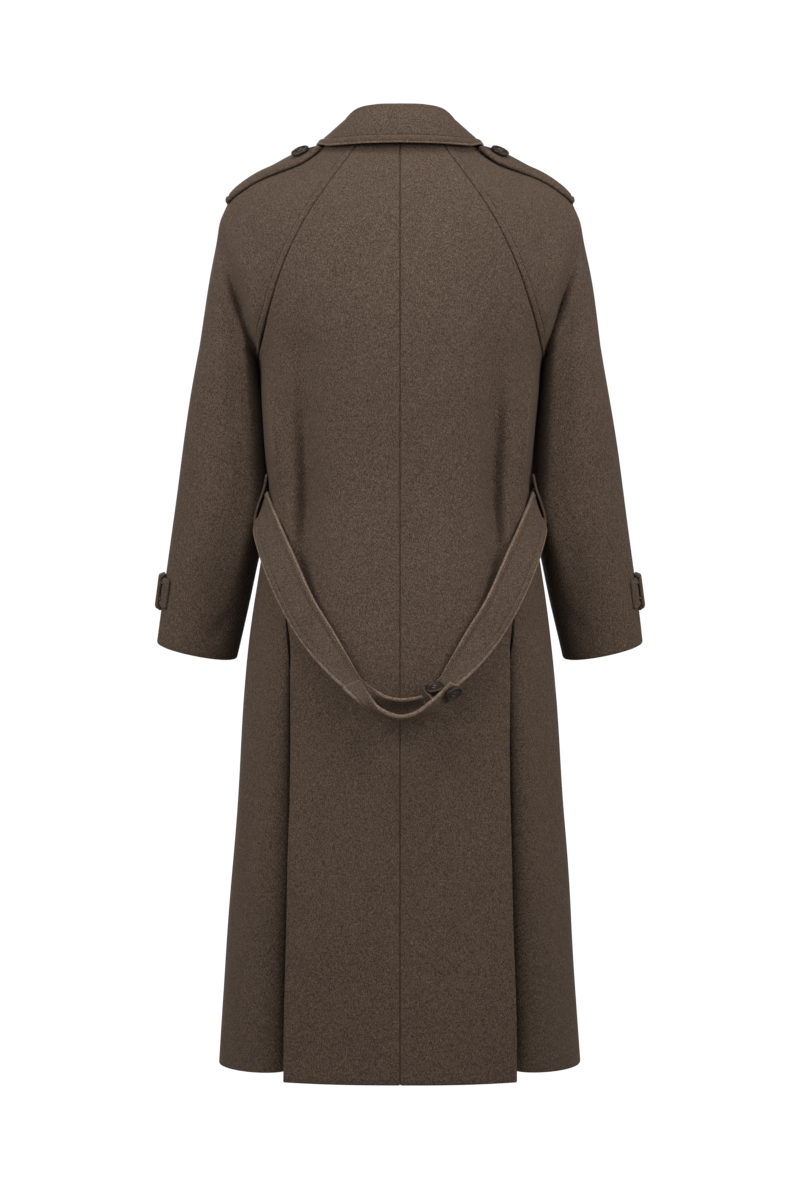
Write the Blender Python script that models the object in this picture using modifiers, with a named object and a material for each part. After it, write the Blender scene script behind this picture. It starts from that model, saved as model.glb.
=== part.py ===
"""Long raglan wool coat, held in its worn form with no wearer inside.

Metres, Z up. The front faces -Y, the wearer's left is +X.
The origin is in the middle of the neck, level with the shoulder points beside it.
"""
import math

import bmesh
import bpy
import numpy as np
from mathutils import Vector

# Cloth and sewing sizes
CLOTH = 0.0024
SEAM_GAP = 0.0004
STRAP_THICK = 0.0040
LOOP_THICK = 0.0030
COLLAR_THICK = 0.0030
LAY_GAP = 0.0005

# Levels of the body
HEM_Z = -1.149
UNDERARM_Z = -0.275
BACK_TOP_Z = -0.0095
BACK_SEAM_TOP_Z = -0.004
FRONT_TOP_Z = -0.078
FRONT_SEAM_TOP_Z = -0.028
NECK_DIP_POWER = 1.5

# Front closing: the right front laps over the left
WRAP = 0.032
LAP_STEP = 0.0040
LAP_RAMP = 0.040

# Each front is held as a centre and a side solid, so that collision follows its curve
FRONT_SPLIT = 0.49

QUARTER = math.pi / 2
NUDGE = 1e-4


class Table:
    """A short table whose columns are smooth curves of its first column."""

    def __init__(self, columns, rows):
        values = np.array(rows, float)
        self.position = values[:, 0]
        self.columns = {name: values[:, i] for i, name in enumerate(columns)}

    def at(self, column, position):
        place = self.position
        value = self.columns[column]
        step = np.diff(place)
        rise = np.diff(value) / step
        slope = np.empty_like(value)
        slope[1:-1] = (step[1:] * rise[:-1] + step[:-1] * rise[1:]) / (step[1:] + step[:-1])
        slope[0], slope[-1] = rise[0], rise[-1]
        where = np.clip(np.asarray(position, float), place[0], place[-1])
        low = np.clip(np.searchsorted(place, where, side="right") - 1, 0, len(step) - 1)
        width = step[low]
        share = (where - place[low]) / width
        left = value[low] * (1 + 2 * share) + slope[low] * width * share
        right = value[low + 1] * (3 - 2 * share) - slope[low + 1] * width * (1 - share)
        return left * (1 - share) ** 2 + right * share**2


# Level sections of the body; above the underarm they run on over the shoulder
BODY = Table(
    ("z", "half_width", "back_depth", "front_depth", "squareness"),
    [
        (-1.149, 0.2238, 0.166, 0.170, 2.30),
        (-1.000, 0.2146, 0.162, 0.163, 2.30),
        (-0.850, 0.2042, 0.156, 0.156, 2.30),
        (-0.700, 0.1936, 0.148, 0.147, 2.30),
        (-0.600, 0.1840, 0.140, 0.139, 2.30),
        (-0.525, 0.1730, 0.131, 0.132, 2.30),
        (-0.450, 0.1615, 0.124, 0.127, 2.30),
        (-0.390, 0.1660, 0.128, 0.129, 2.30),
        (-0.325, 0.1715, 0.136, 0.133, 2.25),
        (-0.275, 0.1760, 0.141, 0.135, 2.20),
        (-0.240, 0.1860, 0.142, 0.133, 2.20),
        (-0.200, 0.1980, 0.140, 0.129, 2.20),
        (-0.150, 0.2120, 0.133, 0.119, 2.20),
        (-0.100, 0.2140, 0.121, 0.101, 2.20),
        (-0.060, 0.1900, 0.104, 0.084, 2.20),
        (-0.030, 0.1400, 0.086, 0.072, 2.20),
        (0.000, 0.0780, 0.062, 0.060, 2.20),
    ],
)

# Raglan seams, as seen from behind and from the front
RAGLAN = Table(
    ("z", "back_x", "front_x"),
    [
        (-0.275, 0.1760, 0.1760),
        (-0.252, 0.1690, 0.1690),
        (-0.215, 0.1585, 0.1570),
        (-0.163, 0.1405, 0.1410),
        (-0.112, 0.1160, 0.1210),
        (-0.063, 0.0850, 0.0930),
        (-0.022, 0.0575, 0.0600),
        (0.000, 0.0440, 0.0480),
    ],
)

# Back pleat: where its edge lies as a share of the way to the side, and its cloth
PLEAT = Table(
    ("z", "edge_share", "spread", "tuck", "raise", "trough"),
    [
        (-1.149, 0.352, 0.004, 0.026, 0.028, 0.000),
        (-0.900, 0.379, 0.004, 0.026, 0.019, 0.000),
        (-0.740, 0.4075, 0.005, 0.022, 0.013, 0.001),
        (-0.650, 0.435, 0.008, 0.012, 0.010, 0.005),
        (-0.560, 0.470, 0.020, 0.000, 0.005, 0.012),
        (-0.450, 0.495, 0.030, 0.000, 0.001, 0.013),
        (-0.340, 0.467, 0.030, 0.000, 0.000, 0.004),
        (-0.275, 0.450, 0.026, 0.000, 0.000, 0.000),
        (0.000, 0.450, 0.012, 0.000, 0.000, 0.000),
    ],
)
PLEAT_START = 0.42
PLEAT_END = 0.72
PLEAT_TROUGH_AT = 0.54
PLEAT_TROUGH_WIDTH = 0.11
PLEAT_HEM_LIFT = 0.004
PLEAT_HEM_REACH = 0.12
PLEAT_HEM_FROM = 0.2
PLEAT_HEM_TO = 0.8

# Ridge of the sleeve from the neck to the level of the underarm
RIDGE = Table(
    ("share", "x", "y", "z"),
    [
        (0.00, 0.0740, 0.000, -0.0010),
        (0.10, 0.1000, -0.001, -0.0134),
        (0.20, 0.1250, -0.002, -0.0225),
        (0.31, 0.1536, -0.003, -0.0358),
        (0.40, 0.1760, -0.004, -0.0456),
        (0.47, 0.1916, -0.005, -0.0553),
        (0.53, 0.2033, -0.006, -0.0647),
        (0.58, 0.2108, -0.006, -0.0736),
        (0.64, 0.2195, -0.007, -0.0900),
        (0.68, 0.2238, -0.007, -0.1000),
        (0.77, 0.2298, -0.0085, -0.1300),
        (0.88, 0.2395, -0.0115, -0.1800),
        (1.00, 0.2505, -0.0175, -0.2560),
    ],
)

# How the sleeve leaves the raglan seam and meets its ridge: reach of its curves at both ends
CAP = Table(
    ("share", "back_x", "back_y", "back_ridge", "front_x", "front_y", "front_ridge"),
    [
        (0.00, 0.0147, -0.0103, 0.030, 0.0149, -0.0060, 0.026),
        (0.25, 0.0413, -0.0150, 0.038, 0.0319, -0.0116, 0.042),
        (0.50, 0.0384, -0.0171, 0.058, 0.0347, -0.0155, 0.064),
        (0.70, 0.0305, -0.0190, 0.070, 0.0305, -0.0190, 0.084),
        (0.82, 0.0250, -0.0160, 0.077, 0.0250, -0.0150, 0.100),
        (0.91, 0.0160, 0.0000, 0.082, 0.0160, 0.0130, 0.112),
        (0.96, 0.0080, 0.0270, 0.085, 0.0080, 0.0480, 0.120),
        (1.00, 0.0000, 0.0600, 0.088, 0.0000, 0.0950, 0.128),
    ],
)
UNDERARM_STEP = 0.0031
UNDERARM_REACH = 0.45

# Arm part of the sleeve, from the underarm to the cuff: its inner and outer lines
ARM = Table(
    ("share", "inner_x", "inner_y", "inner_z", "outer_x", "outer_y", "outer_z"),
    [
        (0.00, 0.1791, 0.000, -0.275, 0.2505, -0.0175, -0.256),
        (0.16, 0.1714, -0.026, -0.335, 0.2620, -0.0235, -0.318),
        (0.34, 0.1662, -0.034, -0.400, 0.2725, -0.0295, -0.383),
        (0.49, 0.1626, -0.039, -0.455, 0.2800, -0.0345, -0.437),
        (0.66, 0.1790, -0.042, -0.520, 0.2888, -0.0400, -0.502),
        (0.83, 0.1928, -0.046, -0.583, 0.2972, -0.0455, -0.564),
        (1.00, 0.2068, -0.050, -0.646, 0.3058, -0.0500, -0.626),
    ],
)

# Reach of the arm's curves backwards and forwards from those two lines
ARM_REACH = Table(
    ("share", "back_inner", "back_outer", "front_inner", "front_outer"),
    [
        (0.00, 0.060, 0.088, 0.095, 0.128),
        (0.16, 0.080, 0.091, 0.098, 0.112),
        (0.34, 0.089, 0.092, 0.090, 0.095),
        (0.49, 0.088, 0.088, 0.083, 0.084),
        (0.66, 0.080, 0.080, 0.076, 0.076),
        (0.83, 0.0715, 0.0715, 0.072, 0.072),
        (1.00, 0.068, 0.068, 0.068, 0.068),
    ],
)
ARM_SWING = math.radians(8.0)
CAP_CROWDING = 1.35

# Folds of the sleeve at the arm hole, as seen from behind
SLEEVE_FOLDS = [
    {"start": (0.214, -0.118), "end": (0.176, -0.262), "depth": 0.013, "width": 0.013},
    {"start": (0.192, -0.100), "end": (0.166, -0.165), "depth": 0.003, "width": 0.012},
]

# How far along its line a fold runs, and the columns over which it fades at the seams
FOLD_START = -0.4
FOLD_FULL = 0.6
FOLD_END = 1.15
FOLD_END_FADE = 0.6
FOLD_SEAM_FADE = 0.12
FOLD_RIDGE_FADE = 0.80

# Collar: share of the neckline, its fold line and outer edge, swell of the fall, height over the seam
COLLAR = Table(
    ("share", "fold_x", "fold_y", "fold_z", "edge_x", "edge_y", "edge_z", "bulge", "lift"),
    [
        (0.00, 0.000, 0.0710, 0.0328, 0.0000, 0.0935, -0.0155, 0.0030, 0.0016),
        (0.16, 0.029, 0.0680, 0.0323, 0.0450, 0.0860, -0.0155, 0.0030, 0.0016),
        (0.32, 0.053, 0.0500, 0.0290, 0.0840, 0.0600, -0.0145, 0.0020, 0.0018),
        (0.52, 0.071, -0.0120, 0.0115, 0.1035, -0.0100, -0.0060, 0.0010, 0.0030),
        (0.68, 0.065, -0.0550, -0.0110, 0.0990, -0.0680, -0.0260, 0.0050, 0.0036),
        (0.84, 0.042, -0.0800, -0.0450, 0.0790, -0.1090, -0.0740, 0.0070, 0.0026),
        (1.00, 0.008, -0.0930, -0.0650, 0.0480, -0.1280, -0.1220, 0.0040, 0.0016),
    ],
)
COLLAR_FOLD_RADIUS = 0.0042
COLLAR_END_X = 0.004
NECKLINE_SAMPLES = 25

# Shoulder strap: share of the sleeve ridge, middle behind the ridge, half width, gap under it
EPAULETTE = Table(
    ("share", "behind", "half_width", "lift"),
    [
        (0.108, 0.0340, 0.0030, 0.0014),
        (0.125, 0.0340, 0.0090, 0.0014),
        (0.150, 0.0330, 0.0155, 0.0014),
        (0.180, 0.0320, 0.0205, 0.0014),
        (0.210, 0.0305, 0.0235, 0.0012),
        (0.240, 0.0275, 0.0238, 0.0010),
        (0.300, 0.0205, 0.0230, 0.0008),
        (0.420, 0.0135, 0.0225, 0.0004),
        (0.540, 0.0070, 0.0225, 0.0004),
        (0.593, 0.0000, 0.0225, 0.0004),
    ],
)
EPAULETTE_THICK = 0.0045
EPAULETTE_BUTTON_ROW = 4
EPAULETTE_BUTTON_LEAN = math.radians(6.0)
EPAULETTE_TIP_SHARE = 0.21
RIDGE_ROWS = 80
RIDGE_COLUMNS = 40
RIDGE_REACH = 0.35

# Cuff strap and its loop, by share of the arm and column of the sleeve halves
CUFF_TOP = 0.783
CUFF_BOTTOM = 0.872
CUFF_START = 0.30
CUFF_END = 0.83
CUFF_LOOP_TOP = 0.762
CUFF_LOOP_BOTTOM = 0.893
CUFF_LOOP_FROM = 0.930
CUFF_LOOP_TO = 0.995
CUFF_LOOP_RAMP = 0.11
CUFF_FRONT_POINTS = 10
CUFF_BACK_POINTS = 5

# Belt: both edges of the strap at sections from the side seam to its end behind
BELT_COLUMNS = ("share", "upper_x", "upper_y", "upper_z", "lower_x", "lower_y", "lower_z")
BELT_SIDE = [
    (0.00, 0.1668, 0.0040, -0.4370, 0.1712, 0.0000, -0.4730),
    (0.10, 0.1612, 0.0520, -0.4516, 0.1775, 0.0420, -0.4800),
    (0.20, 0.1469, 0.0830, -0.4844, 0.1778, 0.0640, -0.4957),
    (0.30, 0.1307, 0.1080, -0.5198, 0.1645, 0.1000, -0.5355),
    (0.43, 0.1050, 0.1375, -0.5750, 0.1380, 0.1320, -0.5915),
    (0.55, 0.0795, 0.1525, -0.6163, 0.1111, 0.1530, -0.6326),
    (0.64, 0.0623, 0.1600, -0.6463, 0.0872, 0.1710, -0.6592),
]
BELT_LEFT_END = [
    (0.72, 0.0487, 0.1630, -0.6695, 0.0651, 0.1839, -0.6790),
    (0.79, 0.0322, 0.1700, -0.6825, 0.0440, 0.1820, -0.6922),
    (0.85, 0.0154, 0.1880, -0.6907, 0.0226, 0.1720, -0.7027),
    (0.91, -0.0012, 0.1900, -0.6938, 0.0000, 0.1700, -0.7069),
    (0.97, -0.0190, 0.1890, -0.6919, -0.0215, 0.1700, -0.7015),
    (1.00, -0.0250, 0.1885, -0.6902, -0.0275, 0.1690, -0.6980),
]
BELT_RIGHT_END = [
    (0.72, 0.0479, 0.1633, -0.6707, 0.0666, 0.1825, -0.6773),
    (0.79, 0.0335, 0.1666, -0.6790, 0.0523, 0.1869, -0.6903),
    (0.83, 0.0299, 0.1671, -0.6820, 0.0428, 0.1886, -0.6962),
]
BELT_TAB = [
    (0.00, 0.0487, 0.1728, -0.6725, 0.0660, 0.1935, -0.6795),
    (0.07, 0.0408, 0.1905, -0.6845, 0.0558, 0.2015, -0.6885),
    (0.15, 0.0320, 0.2060, -0.6955, 0.0455, 0.2025, -0.6975),
    (0.29, 0.0153, 0.2185, -0.7080, 0.0238, 0.1975, -0.7098),
    (0.44, -0.0024, 0.2225, -0.7123, 0.0000, 0.1960, -0.7160),
    (0.58, -0.0189, 0.2190, -0.7080, -0.0237, 0.1965, -0.7110),
    (0.73, -0.0361, 0.2130, -0.6956, -0.0470, 0.1925, -0.7025),
    (0.84, -0.0474, 0.2060, -0.6860, -0.0600, 0.1870, -0.6920),
    (1.00, -0.0596, 0.2110, -0.6739, -0.0720, 0.1880, -0.6800),
]

# Side belt loop: height, how far it stands off the side, and its place behind the side seam
BELT_LOOP = Table(
    ("z", "stand"),
    [
        (-0.508, 0.0038),
        (-0.497, 0.0100),
        (-0.478, 0.0175),
        (-0.455, 0.0150),
        (-0.436, 0.0085),
        (-0.420, 0.0040),
    ],
)
BELT_LOOP_FROM_Y = 0.018
BELT_LOOP_TO_Y = 0.028
BELT_LOOP_ROWS = 13

# Buttons, turned: distance from the axis and height above the cloth
BUTTON_FOOT = 0.0100
BUTTON_PROFILE = [
    (0.0000, 0.0030),
    (0.0070, 0.0030),
    (0.0095, 0.0042),
    (0.0112, 0.0040),
    (0.0118, 0.0024),
    (BUTTON_FOOT, 0.0000),
    (0.0000, 0.0000),
]
BUTTON_STEPS = 14
BUTTON_STATIONS = 101
STRAP_BUTTON_AT = 0.955
STRAP_BUTTON_LEAN = (-0.16, -0.22, 0.15)
TAB_BUTTON_AT = 0.93
TAB_BUTTON_LEAN = (0.0, 0.0, 0.0)
TAB_BUTTON_STALK = 0.0014
FRONT_BUTTON_HEIGHTS = (-0.135, -0.280, -0.425, -0.570, -0.715)


def smooth_step(low, high, value):
    share = np.clip((value - low) / (high - low), 0.0, 1.0)
    return share * share * (3 - 2 * share)


def grid_normals(points):
    """Unit normals of a grid of points, rows by columns."""
    normals = np.cross(np.gradient(points, axis=1), np.gradient(points, axis=0))
    return normals / np.linalg.norm(normals, axis=-1, keepdims=True)


def surface_normals(surface, columns):
    """Points and unit normals of a surface, true to its own slope at the edge columns."""
    points = surface(columns)
    ahead = surface(np.minimum(columns + NUDGE, 1.0))
    behind = surface(np.maximum(columns - NUDGE, 0.0))
    normals = np.cross(ahead - behind, np.gradient(points, axis=0))
    return points, normals / np.linalg.norm(normals, axis=-1, keepdims=True)


def run_length(path):
    """Length run along a path at each of its points."""
    return np.concatenate([[0.0], np.cumsum(np.linalg.norm(np.diff(path, axis=0), axis=1))])


def mirrored(points):
    """The same grid on the wearer's other side, still facing out."""
    return points[:, ::-1] * np.array([-1.0, 1.0, 1.0])


# Body panels
def ring_power(z):
    return 2.0 / BODY.at("squareness", z)


def ring(angle, z, depth, facing):
    """Points round a level section: angle 0 on the centre line, a quarter turn at the side."""
    power = ring_power(z)
    sine = np.sin(angle)
    across = BODY.at("half_width", z) * np.sign(sine) * np.abs(sine) ** power
    out = BODY.at(depth, z) * np.maximum(np.cos(angle), 0.0) ** power
    return np.stack(np.broadcast_arrays(across, facing * out, z), axis=-1)


def ring_frame(angle, z, depth, facing):
    """Point, outward level direction and metres for each radian along a level section."""
    middle = np.clip(angle, NUDGE - QUARTER, QUARTER - NUDGE)
    along = ring(middle + NUDGE, z, depth, facing) - ring(middle - NUDGE, z, depth, facing)
    speed = np.linalg.norm(along, axis=-1) / (2 * NUDGE)
    out = facing * np.stack([-along[..., 1], along[..., 0], 0 * along[..., 0]], axis=-1)
    out /= np.linalg.norm(out, axis=-1, keepdims=True)
    return ring(angle, z, depth, facing), out, speed


def angle_at(x, z):
    """Angle round the section at which it reaches the given distance from the centre."""
    share = np.clip(x / BODY.at("half_width", z), 0.0, 1.0)
    return np.arcsin(share ** (1.0 / ring_power(z)))


def body_levels(below, above, top):
    """Heights of a panel's side edge: hem to underarm, then up the raglan seam."""
    lower = np.linspace(HEM_Z, UNDERARM_Z, below + 1)
    upper = UNDERARM_Z + (top - UNDERARM_Z) * np.linspace(0.0, 1.0, above + 1)[1:] ** CAP_CROWDING
    return np.concatenate([lower, upper])


def panel_rows(levels, top, middle_top, seam_column):
    """Edge angle and centre height of each row of a body panel."""
    climb = np.clip((levels - UNDERARM_Z) / (top - UNDERARM_Z), 0.0, 1.0)
    middle = levels + (middle_top - top) * climb**NECK_DIP_POWER
    edge = np.where(levels > UNDERARM_Z, angle_at(RAGLAN.at(seam_column, levels), levels), QUARTER)
    return edge[:, None], middle[:, None]


def back_panel(columns, levels):
    """Middle surface of the left back, from the centre back seam to the side."""
    edge, middle = panel_rows(levels, BACK_SEAM_TOP_Z, BACK_TOP_Z, "back_x")
    share = columns[None, :]
    z = middle + (levels[:, None] - middle) * share**2
    crease = PLEAT.at("edge_share", z) * edge
    place, out, speed = ring_frame(crease, z, "back_depth", 1)
    spread = PLEAT.at("spread", z) / speed
    tuck = PLEAT.at("tuck", z) / speed
    through = np.clip((share - PLEAT_START) / (PLEAT_END - PLEAT_START), 0.0, 1.0)
    inside = crease * np.minimum(share / PLEAT_START, 1.0)
    fold = spread * through - tuck * (1 - np.cos(2 * math.pi * through)) / 2
    beyond = np.clip((share - PLEAT_END) / (1 - PLEAT_END), 0.0, 1.0)
    angle = inside + fold + (edge - crease - spread) * beyond
    place, out, speed = ring_frame(angle, z, "back_depth", 1)
    height = PLEAT.at("raise", z) * (1 - through)
    height = height - PLEAT.at("trough", z) * np.exp(-(((share - PLEAT_TROUGH_AT) / PLEAT_TROUGH_WIDTH) ** 2))
    points = place + out * height[..., None]
    near_hem = 1 - smooth_step(HEM_Z, HEM_Z + PLEAT_HEM_REACH, z)
    lift = PLEAT_HEM_LIFT * smooth_step(PLEAT_HEM_FROM, PLEAT_HEM_TO, through) * (1 - beyond)
    points[..., 2] += near_hem * lift
    return points


def front_panel(columns, levels, lap):
    """Middle surface of a front, from its wrap edge past the centre to the side."""
    edge, middle = panel_rows(levels, FRONT_SEAM_TOP_Z, FRONT_TOP_Z, "front_x")
    share = columns[None, :]
    z = middle + (levels[:, None] - middle) * share**2
    start = -angle_at(WRAP, z)
    angle = start + (edge - start) * share
    place, out, speed = ring_frame(angle, z, "front_depth", -1)
    height = lap * (1 - smooth_step(WRAP, WRAP + LAP_RAMP, place[..., 0]))
    return place + out * height[..., None]


# Sleeves
def bezier(share, start, start_reach, end_reach, end):
    """Cubic curves: one row for each set of ends, one column for each share."""
    share = share[None, :, None]
    start, end = start[:, None, :], end[:, None, :]
    near = start + start_reach[:, None, :]
    far = end + end_reach[:, None, :]
    rest = 1 - share
    return start * rest**3 + 3 * near * rest**2 * share + 3 * far * rest * share**2 + end * share**3


def raglan_seam(levels, facing):
    """Points of the left raglan seam on the body, and the body's outward direction there."""
    half = "back" if facing > 0 else "front"
    angle = angle_at(RAGLAN.at(half + "_x", levels), levels)
    place, out, speed = ring_frame(angle, levels, half + "_depth", facing)
    return place, out


def cap_rows(columns, rows, facing):
    """Shoulder part of half a left sleeve: columns from seam to ridge, rows from neck to underarm."""
    half = "back" if facing > 0 else "front"
    top = BACK_SEAM_TOP_Z if facing > 0 else FRONT_SEAM_TOP_Z
    levels = UNDERARM_Z + (top - UNDERARM_Z) * np.linspace(1.0, 0.0, rows + 1) ** CAP_CROWDING
    seam, out = raglan_seam(levels, facing)
    length = run_length(seam)
    share = length / length[-1]
    lead_x = CAP.at(half + "_x", share)
    lead_y = facing * CAP.at(half + "_y", share)
    lead = np.stack([lead_x, lead_y, 0 * share], axis=-1)
    leave = lead / np.linalg.norm(lead, axis=-1, keepdims=True)
    tucked = UNDERARM_STEP * smooth_step(UNDERARM_REACH, 1.0, share)
    start = seam + leave * SEAM_GAP * (1 - share[:, None] ** 4) + out * tucked[:, None]
    end = np.stack([RIDGE.at(name, share) for name in "xyz"], axis=-1)
    ridge_reach = np.stack([0 * share, facing * CAP.at(half + "_ridge", share), 0 * share], axis=-1)
    return bezier(columns, start, lead, ridge_reach, end)


def arm_rows(columns, share, facing):
    """Arm part of half a left sleeve: columns from the inner seam to the ridge, rows down to the cuff."""
    half = "back" if facing > 0 else "front"
    start = np.stack([ARM.at("inner_" + name, share) for name in "xyz"], axis=-1)
    end = np.stack([ARM.at("outer_" + name, share) for name in "xyz"], axis=-1)
    tilt = ARM_SWING * smooth_step(0.0, 1.0, share)
    swing = np.stack([0 * tilt, facing * np.cos(tilt), -facing * np.sin(tilt)], axis=-1)
    start_reach = swing * ARM_REACH.at(half + "_inner", share)[:, None]
    end_reach = swing * ARM_REACH.at(half + "_outer", share)[:, None]
    return bezier(columns, start, start_reach, end_reach, end)


def sleeve_half(columns, cap_count, arm_count, facing):
    """Middle surface of half a left sleeve, rows from the neck to the cuff."""
    cap = cap_rows(columns, cap_count, facing)
    arm = arm_rows(columns, np.linspace(0.0, 1.0, arm_count + 1)[1:], facing)
    points = np.concatenate([cap, arm])
    normals = grid_normals(points) * facing
    edge_fade = smooth_step(0.0, FOLD_SEAM_FADE, columns) * (1 - smooth_step(FOLD_RIDGE_FADE, 1.0, columns))
    for fold in SLEEVE_FOLDS if facing > 0 else []:
        first, second = np.array(fold["start"]), np.array(fold["end"])
        flat = points[..., [0, 2]] - first
        line = second - first
        along = np.clip((flat @ line) / (line @ line), FOLD_START, FOLD_END)
        gap = np.linalg.norm(flat - along[..., None] * line, axis=-1)
        strength = smooth_step(FOLD_START, FOLD_FULL, along)
        strength *= 1 - FOLD_END_FADE * smooth_step(1.0, FOLD_END, along)
        sink = fold["depth"] * strength * np.exp(-((gap / fold["width"]) ** 2))
        points = points - normals * (sink * edge_fade[None, :])[..., None]
    return points


# Collar
def neckline(counts):
    """Points along the left neckline from the centre back to the collar's front end, and their shares."""
    share = np.linspace(0.0, 1.0, NECKLINE_SAMPLES)
    front_edge = front_panel(share, np.array([FRONT_SEAM_TOP_Z]), 0.0)[0, ::-1]
    edges = (
        back_panel(share, np.array([BACK_SEAM_TOP_Z]))[0],
        cap_rows(share, 1, 1)[0],
        cap_rows(share, 1, -1)[0, ::-1],
        front_edge[front_edge[:, 0] > COLLAR_END_X],
    )
    path = edges[0][:1]
    for edge, count in zip(edges, counts):
        length = run_length(edge)
        place = np.linspace(0.0, length[-1], count + 1)[1:]
        stretch = np.stack([np.interp(place, length, edge[:, k]) for k in range(3)], axis=-1)
        path = np.concatenate([path, stretch])
    length = run_length(path)
    return path, length / length[-1]


def collar_half(counts, stand_count, roll_count, fall_count):
    """Middle surface of the collar's left half: rows along the neck, columns over the fold."""
    up = np.array([0.0, 0.0, 1.0])
    seam, share = neckline(counts)
    seam = seam + up * COLLAR.at("lift", share)[:, None]
    fold = np.stack([COLLAR.at("fold_" + name, share) for name in "xyz"], axis=-1)
    edge = np.stack([COLLAR.at("edge_" + name, share) for name in "xyz"], axis=-1)
    out = (edge - fold) * np.array([1.0, 1.0, 0.0])
    out /= np.linalg.norm(out, axis=-1, keepdims=True)
    centre = fold - up * COLLAR_FOLD_RADIUS
    stand_top = centre - out * COLLAR_FOLD_RADIUS
    fall_top = centre + out * COLLAR_FOLD_RADIUS
    columns = [seam + (stand_top - seam) * k / stand_count for k in range(stand_count)]
    for k in range(roll_count + 1):
        turn = math.pi * (1 - k / roll_count)
        columns.append(centre + (out * math.cos(turn) + up * math.sin(turn)) * COLLAR_FOLD_RADIUS)
    for k in range(1, fall_count + 1):
        bulge = (out + up) * math.sin(math.pi * k / fall_count) * COLLAR.at("bulge", share)[:, None]
        columns.append(fall_top + (edge - fall_top) * k / fall_count + bulge)
    return np.stack(columns, axis=1)


# Pieces laid on the sleeve
def on_ridge(share, behind):
    """Points of the left shoulder at shares of the ridge, moved behind it along the cloth."""
    columns = np.linspace(RIDGE_REACH, 1.0, RIDGE_COLUMNS)
    halves = {facing: cap_rows(columns, RIDGE_ROWS, facing)[:, ::-1] for facing in (1, -1)}
    wanted = np.stack([RIDGE.at(name, share) for name in "xyz"], axis=-1)
    points = np.empty(behind.shape + (3,))
    for i, j in np.ndindex(behind.shape):
        half = halves[1 if behind[i, j] >= 0 else -1]
        row = int(np.argmin(np.linalg.norm(half[:, 0] - wanted[i], axis=1)))
        line = half[row] + wanted[i] - half[row, 0]
        length = run_length(line)
        points[i, j] = [np.interp(abs(behind[i, j]), length, line[:, axis]) for axis in range(3)]
    return points


def cuff_band(shares, start, end):
    """Points round the left sleeve: from the front half over the ridge to the back half."""
    front = arm_rows(np.linspace(start, 1.0, CUFF_FRONT_POINTS), shares, -1)
    back = arm_rows(np.linspace(1.0, end, CUFF_BACK_POINTS), shares, 1)
    return np.concatenate([front, back[:, 1:]], axis=1)


def ribbon(rows, stations, across):
    """Middle surface of a strap between its upper and lower edges."""
    table = Table(BELT_COLUMNS, rows)
    share = np.linspace(rows[0][0], rows[-1][0], stations)
    upper = np.stack([table.at("upper_" + name, share) for name in "xyz"], axis=-1)
    lower = np.stack([table.at("lower_" + name, share) for name in "xyz"], axis=-1)
    step = np.linspace(0.0, 1.0, across)[None, :, None]
    return upper[:, None] + (lower - upper)[:, None] * step


def cloth(name, points, thickness, material, normals=None):
    """A closed sheet of even thickness about a grid of middle points."""
    rows, columns = points.shape[:2]
    if normals is None:
        normals = grid_normals(points)
    count = rows * columns
    faces_out = (points + normals * thickness / 2).reshape(-1, 3)
    faces_in = (points - normals * thickness / 2).reshape(-1, 3)
    index = np.arange(count).reshape(rows, columns)
    corner = (index[:-1, :-1], index[:-1, 1:], index[1:, 1:], index[1:, :-1])
    outer = np.stack(corner, axis=-1).reshape(-1, 4)
    rim = np.concatenate([index[0, :-1], index[:-1, -1], index[-1, :0:-1], index[:0:-1, 0]])
    after = np.roll(rim, -1)
    side = np.stack([after, rim, rim + count, after + count], axis=-1)
    mesh = bpy.data.meshes.new(name)
    verts = np.concatenate([faces_out, faces_in])
    faces = np.concatenate([outer, outer[:, ::-1] + count, side])
    mesh.from_pydata(verts.tolist(), [], faces.tolist())
    mesh.materials.append(material)
    shape = bmesh.new()
    shape.from_mesh(mesh)
    bmesh.ops.recalc_face_normals(shape, faces=shape.faces)
    shape.to_mesh(mesh)
    shape.free()
    thing = bpy.data.objects.new(name, mesh)
    coat.objects.link(thing)
    return thing


def both_sides(name, points, thickness, material, normals=None):
    other = None if normals is None else mirrored(normals)
    cloth(name + "_left", points, thickness, material, normals)
    cloth(name + "_right", mirrored(points), thickness, material, other)


def button(name, place, axis):
    """A turned button whose underside sits at the given place, facing along the axis."""
    mesh = bpy.data.meshes.new(name)
    verts = [(distance, 0.0, height) for distance, height in BUTTON_PROFILE]
    edges = [(i, i + 1) for i in range(len(verts) - 1)]
    mesh.from_pydata(verts, edges, [])
    mesh.materials.append(horn)
    thing = bpy.data.objects.new(name, mesh)
    turn = thing.modifiers.new("turn", "SCREW")
    turn.axis = "Z"
    turn.steps = BUTTON_STEPS
    turn.render_steps = BUTTON_STEPS
    turn.use_merge_vertices = True
    turn.merge_threshold = 0.00001
    turn.use_normal_calculate = True
    thing.location = place
    thing.rotation_mode = "QUATERNION"
    thing.rotation_quaternion = Vector(axis).to_track_quat("Z", "Y")
    coat.objects.link(thing)
    return thing


def plain_material(name, colour, roughness):
    material = bpy.data.materials.new(name)
    material.use_nodes = True
    shader = material.node_tree.nodes["Principled BSDF"]
    shader.inputs["Base Color"].default_value = (*colour, 1.0)
    shader.inputs["Roughness"].default_value = roughness
    return material


for thing in list(bpy.data.objects):
    bpy.data.objects.remove(thing, do_unlink=True)
coat = bpy.data.collections.new("wool_coat")
bpy.context.scene.collection.children.link(coat)
wool = plain_material("wool_melton", (0.098, 0.067, 0.050), 0.95)
horn = plain_material("dark_horn", (0.012, 0.008, 0.006), 0.35)

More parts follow.
